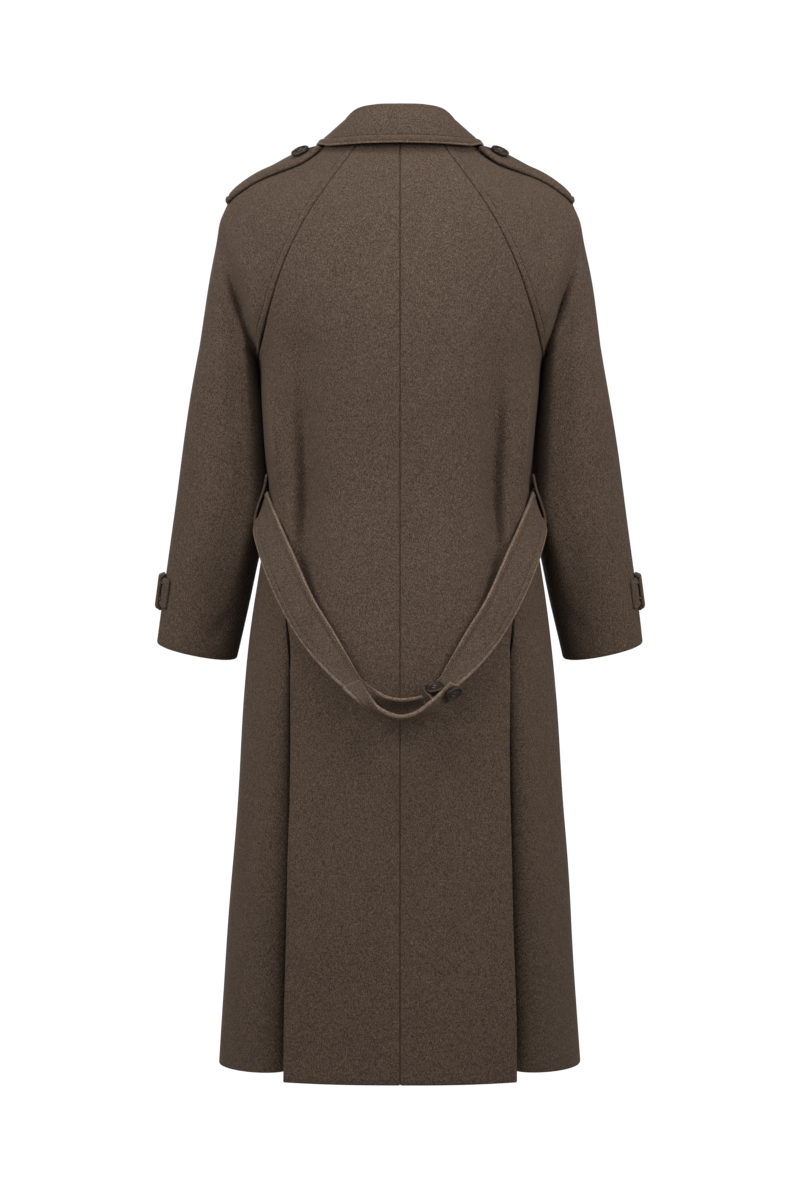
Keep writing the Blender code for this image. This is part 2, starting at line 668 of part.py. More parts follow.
# Row and column counts of the panels
BELOW_ROWS = 15
CAP_ROWS = 10
ARM_ROWS = 11
back_columns = np.concatenate(
    [
        np.linspace(0.0, PLEAT_START, 7)[:-1],
        np.linspace(PLEAT_START, PLEAT_END, 8)[:-1],
        np.linspace(PLEAT_END, 1.0, 6),
    ]
)
centre_columns = np.linspace(0.0, FRONT_SPLIT, 7)
side_columns = np.linspace(FRONT_SPLIT, 1.0, 7)
sleeve_columns = np.linspace(0.0, 1.0, 9)

half_gap = SEAM_GAP / 2
levels = body_levels(BELOW_ROWS, CAP_ROWS, BACK_SEAM_TOP_Z)
back, normals = surface_normals(lambda columns: back_panel(columns, levels), back_columns)
back[:, 0, 0] = half_gap
back[: BELOW_ROWS + 1, -1, 1] += half_gap
both_sides("back", back, CLOTH, wool, normals)

levels = body_levels(BELOW_ROWS, CAP_ROWS, FRONT_SEAM_TOP_Z)
for hand, lap in (("left", 0.0), ("right", LAP_STEP)):
    for part_name, columns in (("front_", centre_columns), ("front_side_", side_columns)):
        front, normals = surface_normals(lambda shares: front_panel(shares, levels, lap), columns)
        along = np.gradient(front, axis=1)
        along *= half_gap / np.linalg.norm(along, axis=-1, keepdims=True)
        if part_name == "front_":
            front[:, -1] -= along[:, -1]
        else:
            front[:, 0] += along[:, 0]
            front[: BELOW_ROWS + 1, -1, 1] -= half_gap
        if lap:
            front, normals = mirrored(front), mirrored(normals)
        cloth(part_name + hand, front, CLOTH, wool, normals)

for facing, half in ((1, "back"), (-1, "front")):
    sleeve, normals = surface_normals(
        lambda columns: sleeve_half(columns, CAP_ROWS, ARM_ROWS, facing), sleeve_columns
    )
    sleeve[:, -1, 1] += facing * half_gap
    sleeve[CAP_ROWS:, 0, 1] += facing * half_gap
    both_sides("sleeve_" + half, sleeve, CLOTH, wool, normals)

collar_left = collar_half((4, 2, 3, 4), 3, 4, 4)
collar_right = collar_left[:0:-1] * np.array([-1.0, 1.0, 1.0])
cloth("collar", np.concatenate([collar_right, collar_left]), COLLAR_THICK, wool)

# Shoulder straps with their buttons
tip, end = EPAULETTE.position[0], EPAULETTE.position[-1]
pointed = np.linspace(tip, EPAULETTE_TIP_SHARE, 6)[:-1]
share = np.concatenate([pointed, np.linspace(EPAULETTE_TIP_SHARE, end, 10)])
step = np.linspace(-1.0, 1.0, 7)[None, :]
behind = EPAULETTE.at("behind", share)[:, None] + EPAULETTE.at("half_width", share)[:, None] * step
strap = on_ridge(share, behind)
normals = grid_normals(strap)
normals *= np.sign(normals[..., 2:3])
strap += normals * (CLOTH / 2 + EPAULETTE_THICK / 2 + EPAULETTE.at("lift", share)[:, None, None])
both_sides("epaulette", strap, EPAULETTE_THICK, wool)
middle = strap.shape[1] // 2
axis = normals[EPAULETTE_BUTTON_ROW, middle]
rise = EPAULETTE_THICK / 2 + LAY_GAP + BUTTON_FOOT * math.sin(EPAULETTE_BUTTON_LEAN)
place = strap[EPAULETTE_BUTTON_ROW, middle] + axis * rise
axis = axis + np.array([0.0, math.tan(EPAULETTE_BUTTON_LEAN), 0.0])
for side, flip in (("left", 1.0), ("right", -1.0)):
    turn = np.array([flip, 1.0, 1.0])
    button("epaulette_button_" + side, place * turn, axis * turn)

# Cuff straps and their loops
band = cuff_band(np.linspace(CUFF_TOP, CUFF_BOTTOM, 3), CUFF_START, CUFF_END)
out = -grid_normals(band)
out *= np.sign(np.sum(out * (band - band.mean(axis=(0, 1))), axis=-1).mean())
strap = band + out * (CLOTH / 2 + LAY_GAP + STRAP_THICK / 2)
both_sides("cuff_strap", strap, STRAP_THICK, wool)
ramp = np.array([0.0, CUFF_LOOP_RAMP / 2, CUFF_LOOP_RAMP])
height = np.concatenate([ramp, [0.30, 0.50, 0.70], 1 - ramp[::-1]])
shares = CUFF_LOOP_TOP + (CUFF_LOOP_BOTTOM - CUFF_LOOP_TOP) * height
band = arm_rows(np.linspace(CUFF_LOOP_FROM, CUFF_LOOP_TO, 3), shares, 1)
out = grid_normals(band)
out *= np.sign(out[..., 0:1])
arch = smooth_step(0.0, CUFF_LOOP_RAMP, height) * (1 - smooth_step(1 - CUFF_LOOP_RAMP, 1.0, height))
stand = CLOTH / 2 + LAY_GAP + LOOP_THICK / 2 + (STRAP_THICK + LAY_GAP) * arch
both_sides("cuff_loop", band + out * stand[:, None, None], LOOP_THICK, wool)

# Belt, its side loops and its buttons
left = ribbon(BELT_SIDE + BELT_LEFT_END, 20, 3)
right = mirrored(ribbon(BELT_SIDE + BELT_RIGHT_END, 17, 3))
tab = ribbon(BELT_TAB, 15, 3)
cloth("belt_left", left, STRAP_THICK, wool)
cloth("belt_right", right, STRAP_THICK, wool)
cloth("belt_tab", tab, STRAP_THICK, wool)
right = mirrored(ribbon(BELT_SIDE + BELT_RIGHT_END, BUTTON_STATIONS, 3))
tab = ribbon(BELT_TAB, BUTTON_STATIONS, 3)
for name, strap, place, lean, stalk in (
    ("belt_button_strap", right, STRAP_BUTTON_AT, STRAP_BUTTON_LEAN, 0.0),
    ("belt_button_tab", tab, TAB_BUTTON_AT, TAB_BUTTON_LEAN, TAB_BUTTON_STALK),
):
    row = round(place * (BUTTON_STATIONS - 1))
    out = grid_normals(strap)[row, 1]
    out = out * np.sign(out[1])
    axis = out + np.array(lean)
    axis /= np.linalg.norm(axis)
    rise = STRAP_THICK / 2 + LAY_GAP + BUTTON_FOOT * np.linalg.norm(np.cross(out, axis))
    button(name, strap[row, 1] + out * (rise + stalk), axis)

heights = np.linspace(BELT_LOOP.position[0], BELT_LOOP.position[-1], BELT_LOOP_ROWS)
depth = (BELT_LOOP_FROM_Y, BELT_LOOP_TO_Y)
side = BODY.at("half_width", heights)
reach = BODY.at("back_depth", heights)
power = BODY.at("squareness", heights)
loop = np.empty((BELT_LOOP_ROWS, 2, 3))
for column, y in enumerate(depth):
    loop[:, column, 0] = side * (1 - (y / reach) ** power) ** (1 / power) + BELT_LOOP.at("stand", heights)
    loop[:, column, 1] = y
    loop[:, column, 2] = heights
both_sides("belt_loop", loop, LOOP_THICK, wool)

# Front buttons, on the right front at the centre line
carrier = bpy.data.objects["front_right"]
for number, height in enumerate(FRONT_BUTTON_HEIGHTS, 1):
    found, place, axis, face = carrier.ray_cast((0.0, -1.0, height), (0.0, 1.0, 0.0))
    button(f"front_button_{number}", place + axis * LAY_GAP, axis)
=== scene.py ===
"""Long raglan wool coat, dressed for the studio: cloth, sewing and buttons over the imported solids.

Metres, Z up. The front faces -Y, the wearer's left is +X, the origin is in the middle of the neck.
"""
import math

import bmesh
import bpy
import numpy as np
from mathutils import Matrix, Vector


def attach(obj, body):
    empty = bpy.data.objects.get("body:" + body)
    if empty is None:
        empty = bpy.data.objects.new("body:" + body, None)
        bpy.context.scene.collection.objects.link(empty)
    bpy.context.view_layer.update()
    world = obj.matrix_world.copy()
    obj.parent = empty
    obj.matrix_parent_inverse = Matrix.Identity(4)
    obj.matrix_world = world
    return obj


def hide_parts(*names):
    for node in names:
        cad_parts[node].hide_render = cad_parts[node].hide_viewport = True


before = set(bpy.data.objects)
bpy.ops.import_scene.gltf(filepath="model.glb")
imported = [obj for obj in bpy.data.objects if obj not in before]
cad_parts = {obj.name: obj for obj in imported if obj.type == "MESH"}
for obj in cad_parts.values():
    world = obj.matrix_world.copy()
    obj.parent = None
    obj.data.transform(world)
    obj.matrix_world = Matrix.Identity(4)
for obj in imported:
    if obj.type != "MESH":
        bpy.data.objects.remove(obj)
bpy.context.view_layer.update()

# Back
# Two halves of thick wool melton, fulled and brushed, joined by a seam down the middle.
# Each half has a deep pleat that is held under the belt and opens down to a turned-up hem.
CLOTH = 0.0024
HEM_Z = -1.149
HEM_TURN = 0.040
UNDERARM_Z = -0.275
BACK_TOP_Z = -0.0095
BACK_SEAM_TOP_Z = -0.004
CAP_CROWDING = 1.35
NECK_CURVE = 1.5
QUARTER = math.pi / 2
NUDGE = 1e-4


class Table:
    """A short table whose columns are smooth curves of its first column."""

    def __init__(self, columns, *rows):
        values = np.array(rows, float)
        self.position = values[:, 0]
        self.columns = {name: values[:, i] for i, name in enumerate(columns)}

    def at(self, column, position):
        place = self.position
        value = self.columns[column]
        step = np.diff(place)
        rise = np.diff(value) / step
        slope = np.empty_like(value)
        slope[1:-1] = (step[1:] * rise[:-1] + step[:-1] * rise[1:]) / (step[1:] + step[:-1])
        slope[0], slope[-1] = rise[0], rise[-1]
        where = np.clip(np.asarray(position, float), place[0], place[-1])
        low = np.clip(np.searchsorted(place, where, side="right") - 1, 0, len(step) - 1)
        width = step[low]
        share = (where - place[low]) / width
        left = value[low] * (1 + 2 * share) + slope[low] * width * share
        right = value[low + 1] * (3 - 2 * share) - slope[low + 1] * width * (1 - share)
        return left * (1 - share) ** 2 + right * share**2

    def points(self, prefix, position):
        """A curve through the three columns that share a prefix."""
        return np.stack([self.at(prefix + axis, position) for axis in "xyz"], axis=-1)


# Level sections of the body; above the underarm they run on over the shoulder
BODY = Table(
    ("z", "half_width", "back_depth", "front_depth", "squareness"),
    (-1.149, 0.2238, 0.166, 0.170, 2.30),
    (-1.000, 0.2146, 0.162, 0.163, 2.30),
    (-0.850, 0.2042, 0.156, 0.156, 2.30),
    (-0.700, 0.1936, 0.148, 0.147, 2.30),
    (-0.600, 0.1840, 0.142, 0.139, 2.30),
    (-0.525, 0.1730, 0.137, 0.132, 2.30),
    (-0.450, 0.1615, 0.133, 0.127, 2.30),
    (-0.390, 0.1660, 0.134, 0.129, 2.30),
    (-0.325, 0.1715, 0.138, 0.133, 2.25),
    (-0.275, 0.1760, 0.141, 0.135, 2.20),
    (-0.240, 0.1860, 0.142, 0.133, 2.20),
    (-0.200, 0.1980, 0.140, 0.129, 2.20),
    (-0.150, 0.2120, 0.133, 0.119, 2.20),
    (-0.100, 0.2140, 0.121, 0.101, 2.20),
    (-0.060, 0.1900, 0.104, 0.084, 2.20),
    (-0.030, 0.1400, 0.086, 0.072, 2.20),
    (0.000, 0.0780, 0.062, 0.060, 2.20),
)

# Raglan seams, as seen from behind and from the front
RAGLAN = Table(
    ("z", "back_x", "front_x"),
    (-0.275, 0.1760, 0.1760),
    (-0.252, 0.1690, 0.1690),
    (-0.215, 0.1585, 0.1570),
    (-0.163, 0.1405, 0.1410),
    (-0.112, 0.1160, 0.1210),
    (-0.063, 0.0850, 0.0930),
    (-0.022, 0.0575, 0.0600),
    (0.000, 0.0440, 0.0480),
)

# Back pleat by height: its edge as a share of the way to the side, then how far its cloth is spread,
# tucked in behind the edge, raised and rolled
PLEAT = Table(
    ("z", "edge_share", "spread", "tuck", "raise", "roll"),
    (-1.149, 0.352, 0.004, 0.026, 0.028, 0.062),
    (-0.900, 0.379, 0.004, 0.026, 0.019, 0.048),
    (-0.740, 0.4075, 0.005, 0.022, 0.013, 0.034),
    (-0.650, 0.435, 0.008, 0.012, 0.010, 0.016),
    (-0.560, 0.470, 0.020, 0.000, 0.005, 0.000),
    (-0.450, 0.495, 0.030, 0.000, 0.001, 0.000),
    (-0.340, 0.467, 0.030, 0.000, 0.000, 0.000),
    (-0.275, 0.450, 0.026, 0.000, 0.000, 0.000),
    (0.000, 0.450, 0.012, 0.000, 0.000, 0.000),
)
PLEAT_START = 0.42
PLEAT_END = 0.72
PLEAT_HEM_LIFT = 0.004
PLEAT_HEM_REACH = 0.12
PLEAT_ROLL_DEPTH = 0.65
PLEAT_TURN = 0.35
PLEAT_LIFT_FROM = 0.2
PLEAT_LIFT_TO = 0.8


def named(columns, *rows):
    """A short table as one dictionary for each row."""
    return [dict(zip(columns, row)) for row in rows]


# Slow swell of pressed wool: turns for each metre across, through and up, and its height
SWELLS = named(
    ("turns", "start", "height"),
    ((4.1, 1.3, 1.6), 0.20, 0.0007),
    ((-1.7, 3.9, 2.9), 0.55, 0.0006),
    ((7.3, -5.2, 4.4), 0.85, 0.0004),
)

# Creases of the hanging body cloth, each a trough between two points
BODY_CREASES = named(
    ("start", "end", "depth", "width"),
    ((0.176, 0.085, -0.640), (0.188, 0.095, -0.900), 0.0030, 0.022),
    ((-0.174, 0.085, -0.660), (-0.190, 0.090, -0.960), 0.0026, 0.024),
    ((0.115, -0.110, -0.330), (0.090, -0.120, -0.520), 0.0028, 0.020),
    ((-0.118, -0.110, -0.300), (-0.100, -0.118, -0.500), 0.0032, 0.018),
    ((0.140, -0.105, -0.600), (0.160, -0.115, -1.000), 0.0034, 0.028),
    ((-0.120, -0.120, -0.640), (-0.136, -0.130, -1.060), 0.0030, 0.030),
    ((-0.060, -0.138, -0.500), (0.030, -0.134, -0.430), 0.0012, 0.014),
)

# Soft rolls of cloth that stand out behind the arms above the belt, and the valleys inside them,
# which have a negative height
BODY_ROLLS = named(
    ("start", "end", "height", "width"),
    ((0.166, 0.050, -0.275), (0.1470, 0.060, -0.512), 0.020, 0.016),
    ((-0.165, 0.050, -0.270), (-0.1480, 0.060, -0.508), 0.019, 0.016),
    ((0.115, 0.105, -0.190), (0.114, 0.100, -0.600), -0.010, 0.026),
    ((-0.116, 0.105, -0.200), (-0.114, 0.100, -0.590), -0.010, 0.026),
    ((0.1110, 0.103, -0.240), (0.1100, 0.110, -0.790), -0.023, 0.0165),
    ((-0.1115, 0.103, -0.230), (-0.1100, 0.110, -0.780), -0.023, 0.0165),
)
CREASE_FADE = 1.2


def smooth_step(low, high, value):
    share = np.clip((value - low) / (high - low), 0.0, 1.0)
    return share * share * (3 - 2 * share)


def bell(value, middle, width):
    return np.exp(-(((value - middle) / width) ** 2))


def run_length(path):
    """Length run along a path at each of its points."""
    return np.concatenate([[0.0], np.cumsum(np.linalg.norm(np.diff(path, axis=0), axis=1))])


def across(points):
    """Length run along each row of a grid of points, from its first column."""
    step = np.linalg.norm(np.diff(points, axis=1), axis=-1)
    return np.concatenate([np.zeros((len(points), 1)), np.cumsum(step, axis=1)], axis=1)


def unit(vectors):
    return vectors / np.linalg.norm(vectors, axis=-1, keepdims=True)


def facing_out(points, side):
    """Unit normals of a grid of points; side is 1 or -1 and turns them out of the coat."""
    return unit(np.cross(np.gradient(points, axis=1), np.gradient(points, axis=0)) * side)


def mirrored(points, flip=-1):
    """Points as they lie on the other side of the coat, or as they are with a flip of 1."""
    return points * np.array([flip, 1.0, 1.0])


def ring(angle, z, depth, facing):
    """Points round a level section: angle 0 on the centre line, a quarter turn at the side."""
    power = 2.0 / BODY.at("squareness", z)
    sine = np.sin(angle)
    wide = BODY.at("half_width", z) * np.sign(sine) * np.abs(sine) ** power
    deep = BODY.at(depth, z) * np.maximum(np.cos(angle), 0.0) ** power
    return np.stack(np.broadcast_arrays(wide, facing * deep, z), axis=-1)


def ring_frame(angle, z, depth, facing):
    """Point, outward level direction and metres for each radian along a level section."""
    middle = np.clip(angle, NUDGE - QUARTER, QUARTER - NUDGE)
    along = ring(middle + NUDGE, z, depth, facing) - ring(middle - NUDGE, z, depth, facing)
    speed = np.linalg.norm(along, axis=-1) / (2 * NUDGE)
    out = facing * np.stack([-along[..., 1], along[..., 0], 0 * along[..., 0]], axis=-1)
    return ring(angle, z, depth, facing), unit(out), speed


def angle_at(x, z):
    """Angle round the section at which it reaches the given distance from the centre."""
    share = np.clip(x / BODY.at("half_width", z), 0.0, 1.0)
    return np.arcsin(share ** (BODY.at("squareness", z) / 2.0))


def body_levels(below, above, top):
    """Heights of a panel's side edge: hem to underarm, then up the raglan seam."""
    lower = np.linspace(HEM_Z, UNDERARM_Z, below + 1)
    upper = UNDERARM_Z + (top - UNDERARM_Z) * np.linspace(0.0, 1.0, above + 1)[1:] ** CAP_CROWDING
    return np.concatenate([lower, upper])


def panel_rows(levels, top, middle_top, seam_column):
    """Edge angle and centre height of each row of a body panel."""
    climb = np.clip((levels - UNDERARM_Z) / (top - UNDERARM_Z), 0.0, 1.0)
    middle = levels + (middle_top - top) * climb**NECK_CURVE
    edge = np.where(levels > UNDERARM_Z, angle_at(RAGLAN.at(seam_column, levels), levels), QUARTER)
    return edge[:, None], middle[:, None]


def back_panel(columns, levels):
    """Middle surface of the left back, from the centre back seam to the side."""
    edge, middle = panel_rows(levels, BACK_SEAM_TOP_Z, BACK_TOP_Z, "back_x")
    share = columns[None, :]
    z = middle + (levels[:, None] - middle) * share**2
    crease = PLEAT.at("edge_share", z) * edge
    place, out, speed = ring_frame(crease, z, "back_depth", 1)
    spread = PLEAT.at("spread", z) / speed
    tuck = PLEAT.at("tuck", z) / speed
    through = np.clip((share - PLEAT_START) / (PLEAT_END - PLEAT_START), 0.0, 1.0)
    inside = crease * np.minimum(share / PLEAT_START, 1.0)
    fold = spread * through - tuck * (1 - np.cos(2 * math.pi * through)) / 2
    beyond = np.clip((share - PLEAT_END) / (1 - PLEAT_END), 0.0, 1.0)
    angle = inside + fold + (edge - crease - spread) * beyond
    place, out, speed = ring_frame(angle, z, "back_depth", 1)
    height = PLEAT.at("raise", z) * (1 - through)
    points = place + out * height[..., None]
    roll = PLEAT.at("roll", z)
    pleat_edge = points[:, np.argmin(np.abs(columns - PLEAT_START)), 0][:, None]
    turned = 1 - np.clip((points[..., 0] - pleat_edge) / np.maximum(roll, NUDGE), 0.0, 1.0)
    rolled = np.where(share > PLEAT_END, 1 - np.sqrt(1 - turned**2), smooth_step(PLEAT_TURN, 1.0, through))
    points[..., 1] -= PLEAT_ROLL_DEPTH * roll * rolled
    near_hem = 1 - smooth_step(HEM_Z, HEM_Z + PLEAT_HEM_REACH, z)
    lift = PLEAT_HEM_LIFT * smooth_step(PLEAT_LIFT_FROM, PLEAT_LIFT_TO, through) * (1 - beyond)
    points[..., 2] += near_hem * lift
    return points


def from_line(points, crease):
    """Share along the line of a crease, and the distance from it, at each point."""
    start, end = np.array(crease["start"]), np.array(crease["end"])
    line = end - start
    along = np.clip(((points - start) @ line) / (line @ line), 0.0, 1.0)
    return along, np.linalg.norm(points - start - along[..., None] * line, axis=-1)


def beside(points, crease):
    """How strongly a crease works at each point: full along its middle, weak at its ends."""
    along, gap = from_line(points, crease)
    return np.sin(math.pi * along) ** CREASE_FADE * bell(gap, 0.0, crease["width"])


def settled(points, side, creases):
    """Cloth with its swell and its creases pressed in."""
    out = facing_out(points, side)
    move = np.zeros(points.shape[:2])
    for swell in SWELLS:
        move += swell["height"] * np.sin(2 * math.pi * (points @ np.array(swell["turns"]) + swell["start"]))
    for crease in creases:
        move -= crease["depth"] * beside(points, crease)
    return points + out * move[..., None]


# How a sewn or turned edge shapes the cloth beside it
GROOVE_DEPTH = 0.0018
GROOVE_REACH = 0.0016
RAGLAN_SEAM = 0.9
RAGLAN_SEAM_START = 0.03
TURN_UP_SHARE = 0.9
TURN_UP_STEP = 0.002
EDGE_STEPS = 4
PLAIN_STEPS = np.array([0.0, 0.5, 1.0, 1.6, 2.4, 3.6, 5.4]) / 1000


def groove(distance):
    """Cloth drawn down into a seam, by the distance from it."""
    return -GROOVE_DEPTH * (1 - smooth_step(0.0, GROOVE_REACH, distance))


def hem_turn(points):
    """Extra thickness inside, where the hem is turned up and felled."""
    top = HEM_Z + HEM_TURN
    return CLOTH * TURN_UP_SHARE * (1 - smooth_step(top - TURN_UP_STEP, top, points[..., 2]))


def wall(name, middle, out, above, below, finish, free, rim_finish=None):
    """A closed wall of cloth about its middle surface. Sides named in free end in a round edge."""
    rows, columns = middle.shape[:2]
    count = rows * columns
    above = np.broadcast_to(above, (rows, columns))[..., None]
    below = np.broadcast_to(below, (rows, columns))[..., None]
    top, under = middle + out * above, middle - out * below
    beyond = np.zeros_like(middle)
    for part, edge, inner in (
        ("first_row", np.s_[0], np.s_[1]),
        ("last_row", np.s_[-1], np.s_[-2]),
        ("first_column", np.s_[:, 0], np.s_[:, 1]),
        ("last_column", np.s_[:, -1], np.s_[:, -2]),
    ):
        if part in free:
            beyond[edge] += unit(middle[edge] - middle[inner])
    size = np.linalg.norm(beyond, axis=-1, keepdims=True)
    beyond = beyond / np.where(size > 0, size, 1.0)
    index = np.arange(count).reshape(rows, columns)
    rim = np.concatenate([index[0, :-1], index[:-1, -1], index[-1, :0:-1], index[:0:-1, 0]])
    centre, half = (top + under) / 2, (top - under) / 2
    reach = beyond * np.linalg.norm(half, axis=-1, keepdims=True)
    verts = [top.reshape(-1, 3), under.reshape(-1, 3)]
    loops = [rim]
    for k in range(1, EDGE_STEPS):
        turn = math.pi * k / EDGE_STEPS
        edge = (centre + half * math.cos(turn) + reach * math.sin(turn)).reshape(-1, 3)[rim]
        loops.append(np.arange(len(rim)) + sum(len(v) for v in verts))
        verts.append(edge)
    loops.append(rim + count)
    corner = (index[:-1, :-1], index[:-1, 1:], index[1:, 1:], index[1:, :-1])
    quads = np.stack(corner, axis=-1).reshape(-1, 4)
    faces = [quads, quads[:, ::-1] + count]
    for near, far in zip(loops, loops[1:]):
        faces.append(np.stack([np.roll(near, -1), near, far, np.roll(far, -1)], axis=-1))
    piece = piece_from(name, np.concatenate(verts), np.concatenate(faces), finish)
    # Painted highlight: the rounded rim faces take the paler rim finish, for the light caught along the edge
    if rim_finish not in (None, finish):
        piece.data.materials.append(rim_finish)
        turned = np.arange(len(piece.data.polygons)) >= 2 * len(quads)
        piece.data.polygons.foreach_set("material_index", turned.astype(np.int32))
    return piece


def placed(name, data):
    """A new object in the scene."""
    made = bpy.data.objects.new(name, data)
    bpy.context.scene.collection.objects.link(made)
    return made


def piece_from(name, verts, faces, finish):
    """A smooth-shaded piece that rides on the coat's one body."""
    mesh = bpy.data.meshes.new(name)
    mesh.from_pydata(verts.tolist(), [], faces.tolist())
    mesh.materials.append(finish)
    shape = bmesh.new()
    shape.from_mesh(mesh)
    bmesh.ops.recalc_face_normals(shape, faces=shape.faces)
    shape.to_mesh(mesh)
    shape.free()
    mesh.shade_smooth()
    piece = placed(name, mesh)
    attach(piece, "root")
    return piece


def linear(colour):
    """An sRGB hex colour as linear values with full alpha."""
    parts = [int(colour[i : i + 2], 16) / 255 for i in (1, 3, 5)]
    return (*[p / 12.92 if p <= 0.04045 else ((p + 0.055) / 1.055) ** 2.4 for p in parts], 1.0)


def set_inputs(tree, made, inputs):
    """Give a shader node its inputs: sockets are linked, other values are set."""
    for key, value in inputs.items():
        if isinstance(value, bpy.types.NodeSocket):
            tree.links.new(value, made.inputs[key])
        else:
            made.inputs[key].default_value = value


def node(tree, kind, output, inputs=None, stops=(), **settings):
    """One output of a new shader node, with its settings, its inputs and a colour ramp's stops."""
    made = tree.nodes.new(kind)
    for key, value in settings.items():
        setattr(made, key, value)
    set_inputs(tree, made, inputs or {})
    if stops:
        elements = made.color_ramp.elements
        while len(elements) < len(stops):
            elements.new(0.5)
        for element, (place, colour) in zip(elements, stops):
            element.position = place
            element.color = colour
    return made.outputs[output]


def new_material(name):
    """A new material with its node tree and its main shader."""
    material = bpy.data.materials.new(name)
    material.use_nodes = True
    return material, material.node_tree, material.node_tree.nodes["Principled BSDF"]


# Wool melton: woven, fulled until the weave closes, then brushed and cropped to a short nap.
# It gives a dull brown with a fine fuzzy speckle, no gloss and a faint pale sheen at grazing angles.
# Its real fibres are too fine to show in the render, so the nap is drawn as coarse as it needs to show.
WOOL_DARK = "#2e251e"
WOOL_LIGHT = "#5e5045"
WOOL_SHEEN = "#d8c6b6"
# Rim colours: a paler copy of the wool, a painted highlight for the light that the turned, rounded edges
# catch
EDGE_HIGHLIGHT_DARK = "#43372d"
EDGE_HIGHLIGHT_LIGHT = "#857466"
FUZZ_SIZE = 0.0014
FIBRE_LENGTH = 0.0032
FIBRE_WIDTH = 0.0009
FIBRE_LEANS = ((0.0, 0.0, 0.0), (0.0, 0.9, 0.5))
FIBRE_SHARE = 0.45
MOTTLE_SIZE = 0.045
MOTTLE_SHARE = 0.025
NAP_DARK_UP_TO = 0.46
NAP_LIGHT_FROM = 0.74
NAP_HEIGHT = 0.0006
NAP_STRENGTH = 0.25


def wool_melton(name, dark, light):
    material, tree, shader = new_material(name)
    place = node(tree, "ShaderNodeTexCoord", "Object")
    fine = {"Vector": place, "Scale": 1 / FUZZ_SIZE, "Detail": 2.0, "Roughness": 0.65}
    fuzz = node(tree, "ShaderNodeTexNoise", "Fac", fine)
    scale = (1 / FIBRE_WIDTH, 1 / FIBRE_WIDTH, 1 / FIBRE_LENGTH)
    runs = []
    for lean in FIBRE_LEANS:
        run = node(tree, "ShaderNodeMapping", "Vector", {"Vector": place, "Rotation": lean, "Scale": scale})
        runs.append(node(tree, "ShaderNodeTexNoise", "Fac", {"Vector": run, "Scale": 1.0, "Detail": 2.0}))
    fibres = node(tree, "ShaderNodeMath", "Value", dict(enumerate(runs)), operation="MAXIMUM")
    nap = node(tree, "ShaderNodeMix", "Result", {"Factor": FIBRE_SHARE, "A": fuzz, "B": fibres})
    broad = {"Vector": place, "Scale": 1 / MOTTLE_SIZE, "Detail": 3.0}
    mottle = node(tree, "ShaderNodeTexNoise", "Fac", broad)
    tone = node(tree, "ShaderNodeMix", "Result", {"Factor": MOTTLE_SHARE, "A": nap, "B": mottle})
    stops = [(NAP_DARK_UP_TO, linear(dark)), (NAP_LIGHT_FROM, linear(light))]
    colour = node(tree, "ShaderNodeValToRGB", "Color", {"Fac": tone}, stops)
    raised = {"Strength": NAP_STRENGTH, "Distance": NAP_HEIGHT, "Height": nap}
    look = {
        "Base Color": colour,
        "Normal": node(tree, "ShaderNodeBump", "Normal", raised),
        "Roughness": 0.95,
        "Specular IOR Level": 0.05,
        "Sheen Weight": 0.03,
        "Sheen Roughness": 0.55,
        "Sheen Tint": linear(WOOL_SHEEN),
    }
    set_inputs(tree, shader, look)
    return material


wool = wool_melton("wool_melton", WOOL_DARK, WOOL_LIGHT)

BODY_ROWS = 176
CAP_ROWS = 72
CENTRE_WIDTH = 0.100
CENTRE_COLUMNS = 28
PLEAT_COLUMNS = 37
SIDE_WIDTH = 0.140
SIDE_COLUMNS = 44
SIDE_CROWDING = 1.7
centre_steps = PLAIN_STEPS / CENTRE_WIDTH * PLEAT_START
side_steps = PLAIN_STEPS / SIDE_WIDTH * (1 - PLEAT_END)
side_reach = 1.0 - side_steps[-1] - PLEAT_END
back_columns = np.concatenate(
    [
        centre_steps,
        np.linspace(centre_steps[-1], PLEAT_START, CENTRE_COLUMNS)[1:-1],
        np.linspace(PLEAT_START, PLEAT_END, PLEAT_COLUMNS)[:-1],
        PLEAT_END + side_reach * np.linspace(0.0, 1.0, SIDE_COLUMNS)[:-1] ** SIDE_CROWDING,
        1.0 - side_steps[::-1],
    ]
)
back_levels = body_levels(BODY_ROWS, CAP_ROWS, BACK_SEAM_TOP_Z)
back_left = back_panel(back_columns, back_levels)
for name, points, side in (("back_left", back_left, -1), ("back_right", mirrored(back_left), 1)):
    rolled = sum(roll["height"] * beside(points, roll) for roll in BODY_ROLLS)
    points = settled(points, side, BODY_CREASES)
    points[..., 1] += rolled
    points[:, 0, 0] = 0.0
    out = facing_out(points, side)
    length = across(points)
    shown = RAGLAN_SEAM * smooth_step(UNDERARM_Z, UNDERARM_Z + RAGLAN_SEAM_START, points[:, -1:, 2])
    above = CLOTH / 2 + (groove(length) + groove(length[:, -1:] - length) * shown)
    below = CLOTH / 2 + hem_turn(points)
    piece = wall(name + "_cloth", points, out, above, below, wool, ("first_row",))
    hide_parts(name)

# Fronts
# Two halves of the same melton, hidden behind the back in the photo and finished plainly.
# The right one laps over the left, and both edges are turned in, pressed and topstitched.
FRONT_TOP_Z = -0.078
FRONT_SEAM_TOP_Z = -0.028
WRAP = 0.032
LAP_STEP = 0.0040
LAP_RAMP = 0.040
WELT_STITCH = 0.0080
WELT_ROUND = 0.0016
WELT_INSIDE = 0.0066
WELT_HEIGHT = 0.0007
WELT_DIP = 0.0009
WELT_DIP_WIDTH = 0.0009
WELT_STEPS = np.array([0.0, 0.6, 1.3, 2.2, 3.4, 4.8, 6.0, 6.8, 7.4, 8.0, 8.6, 9.2, 10.0, 11.4, 13.4]) / 1000


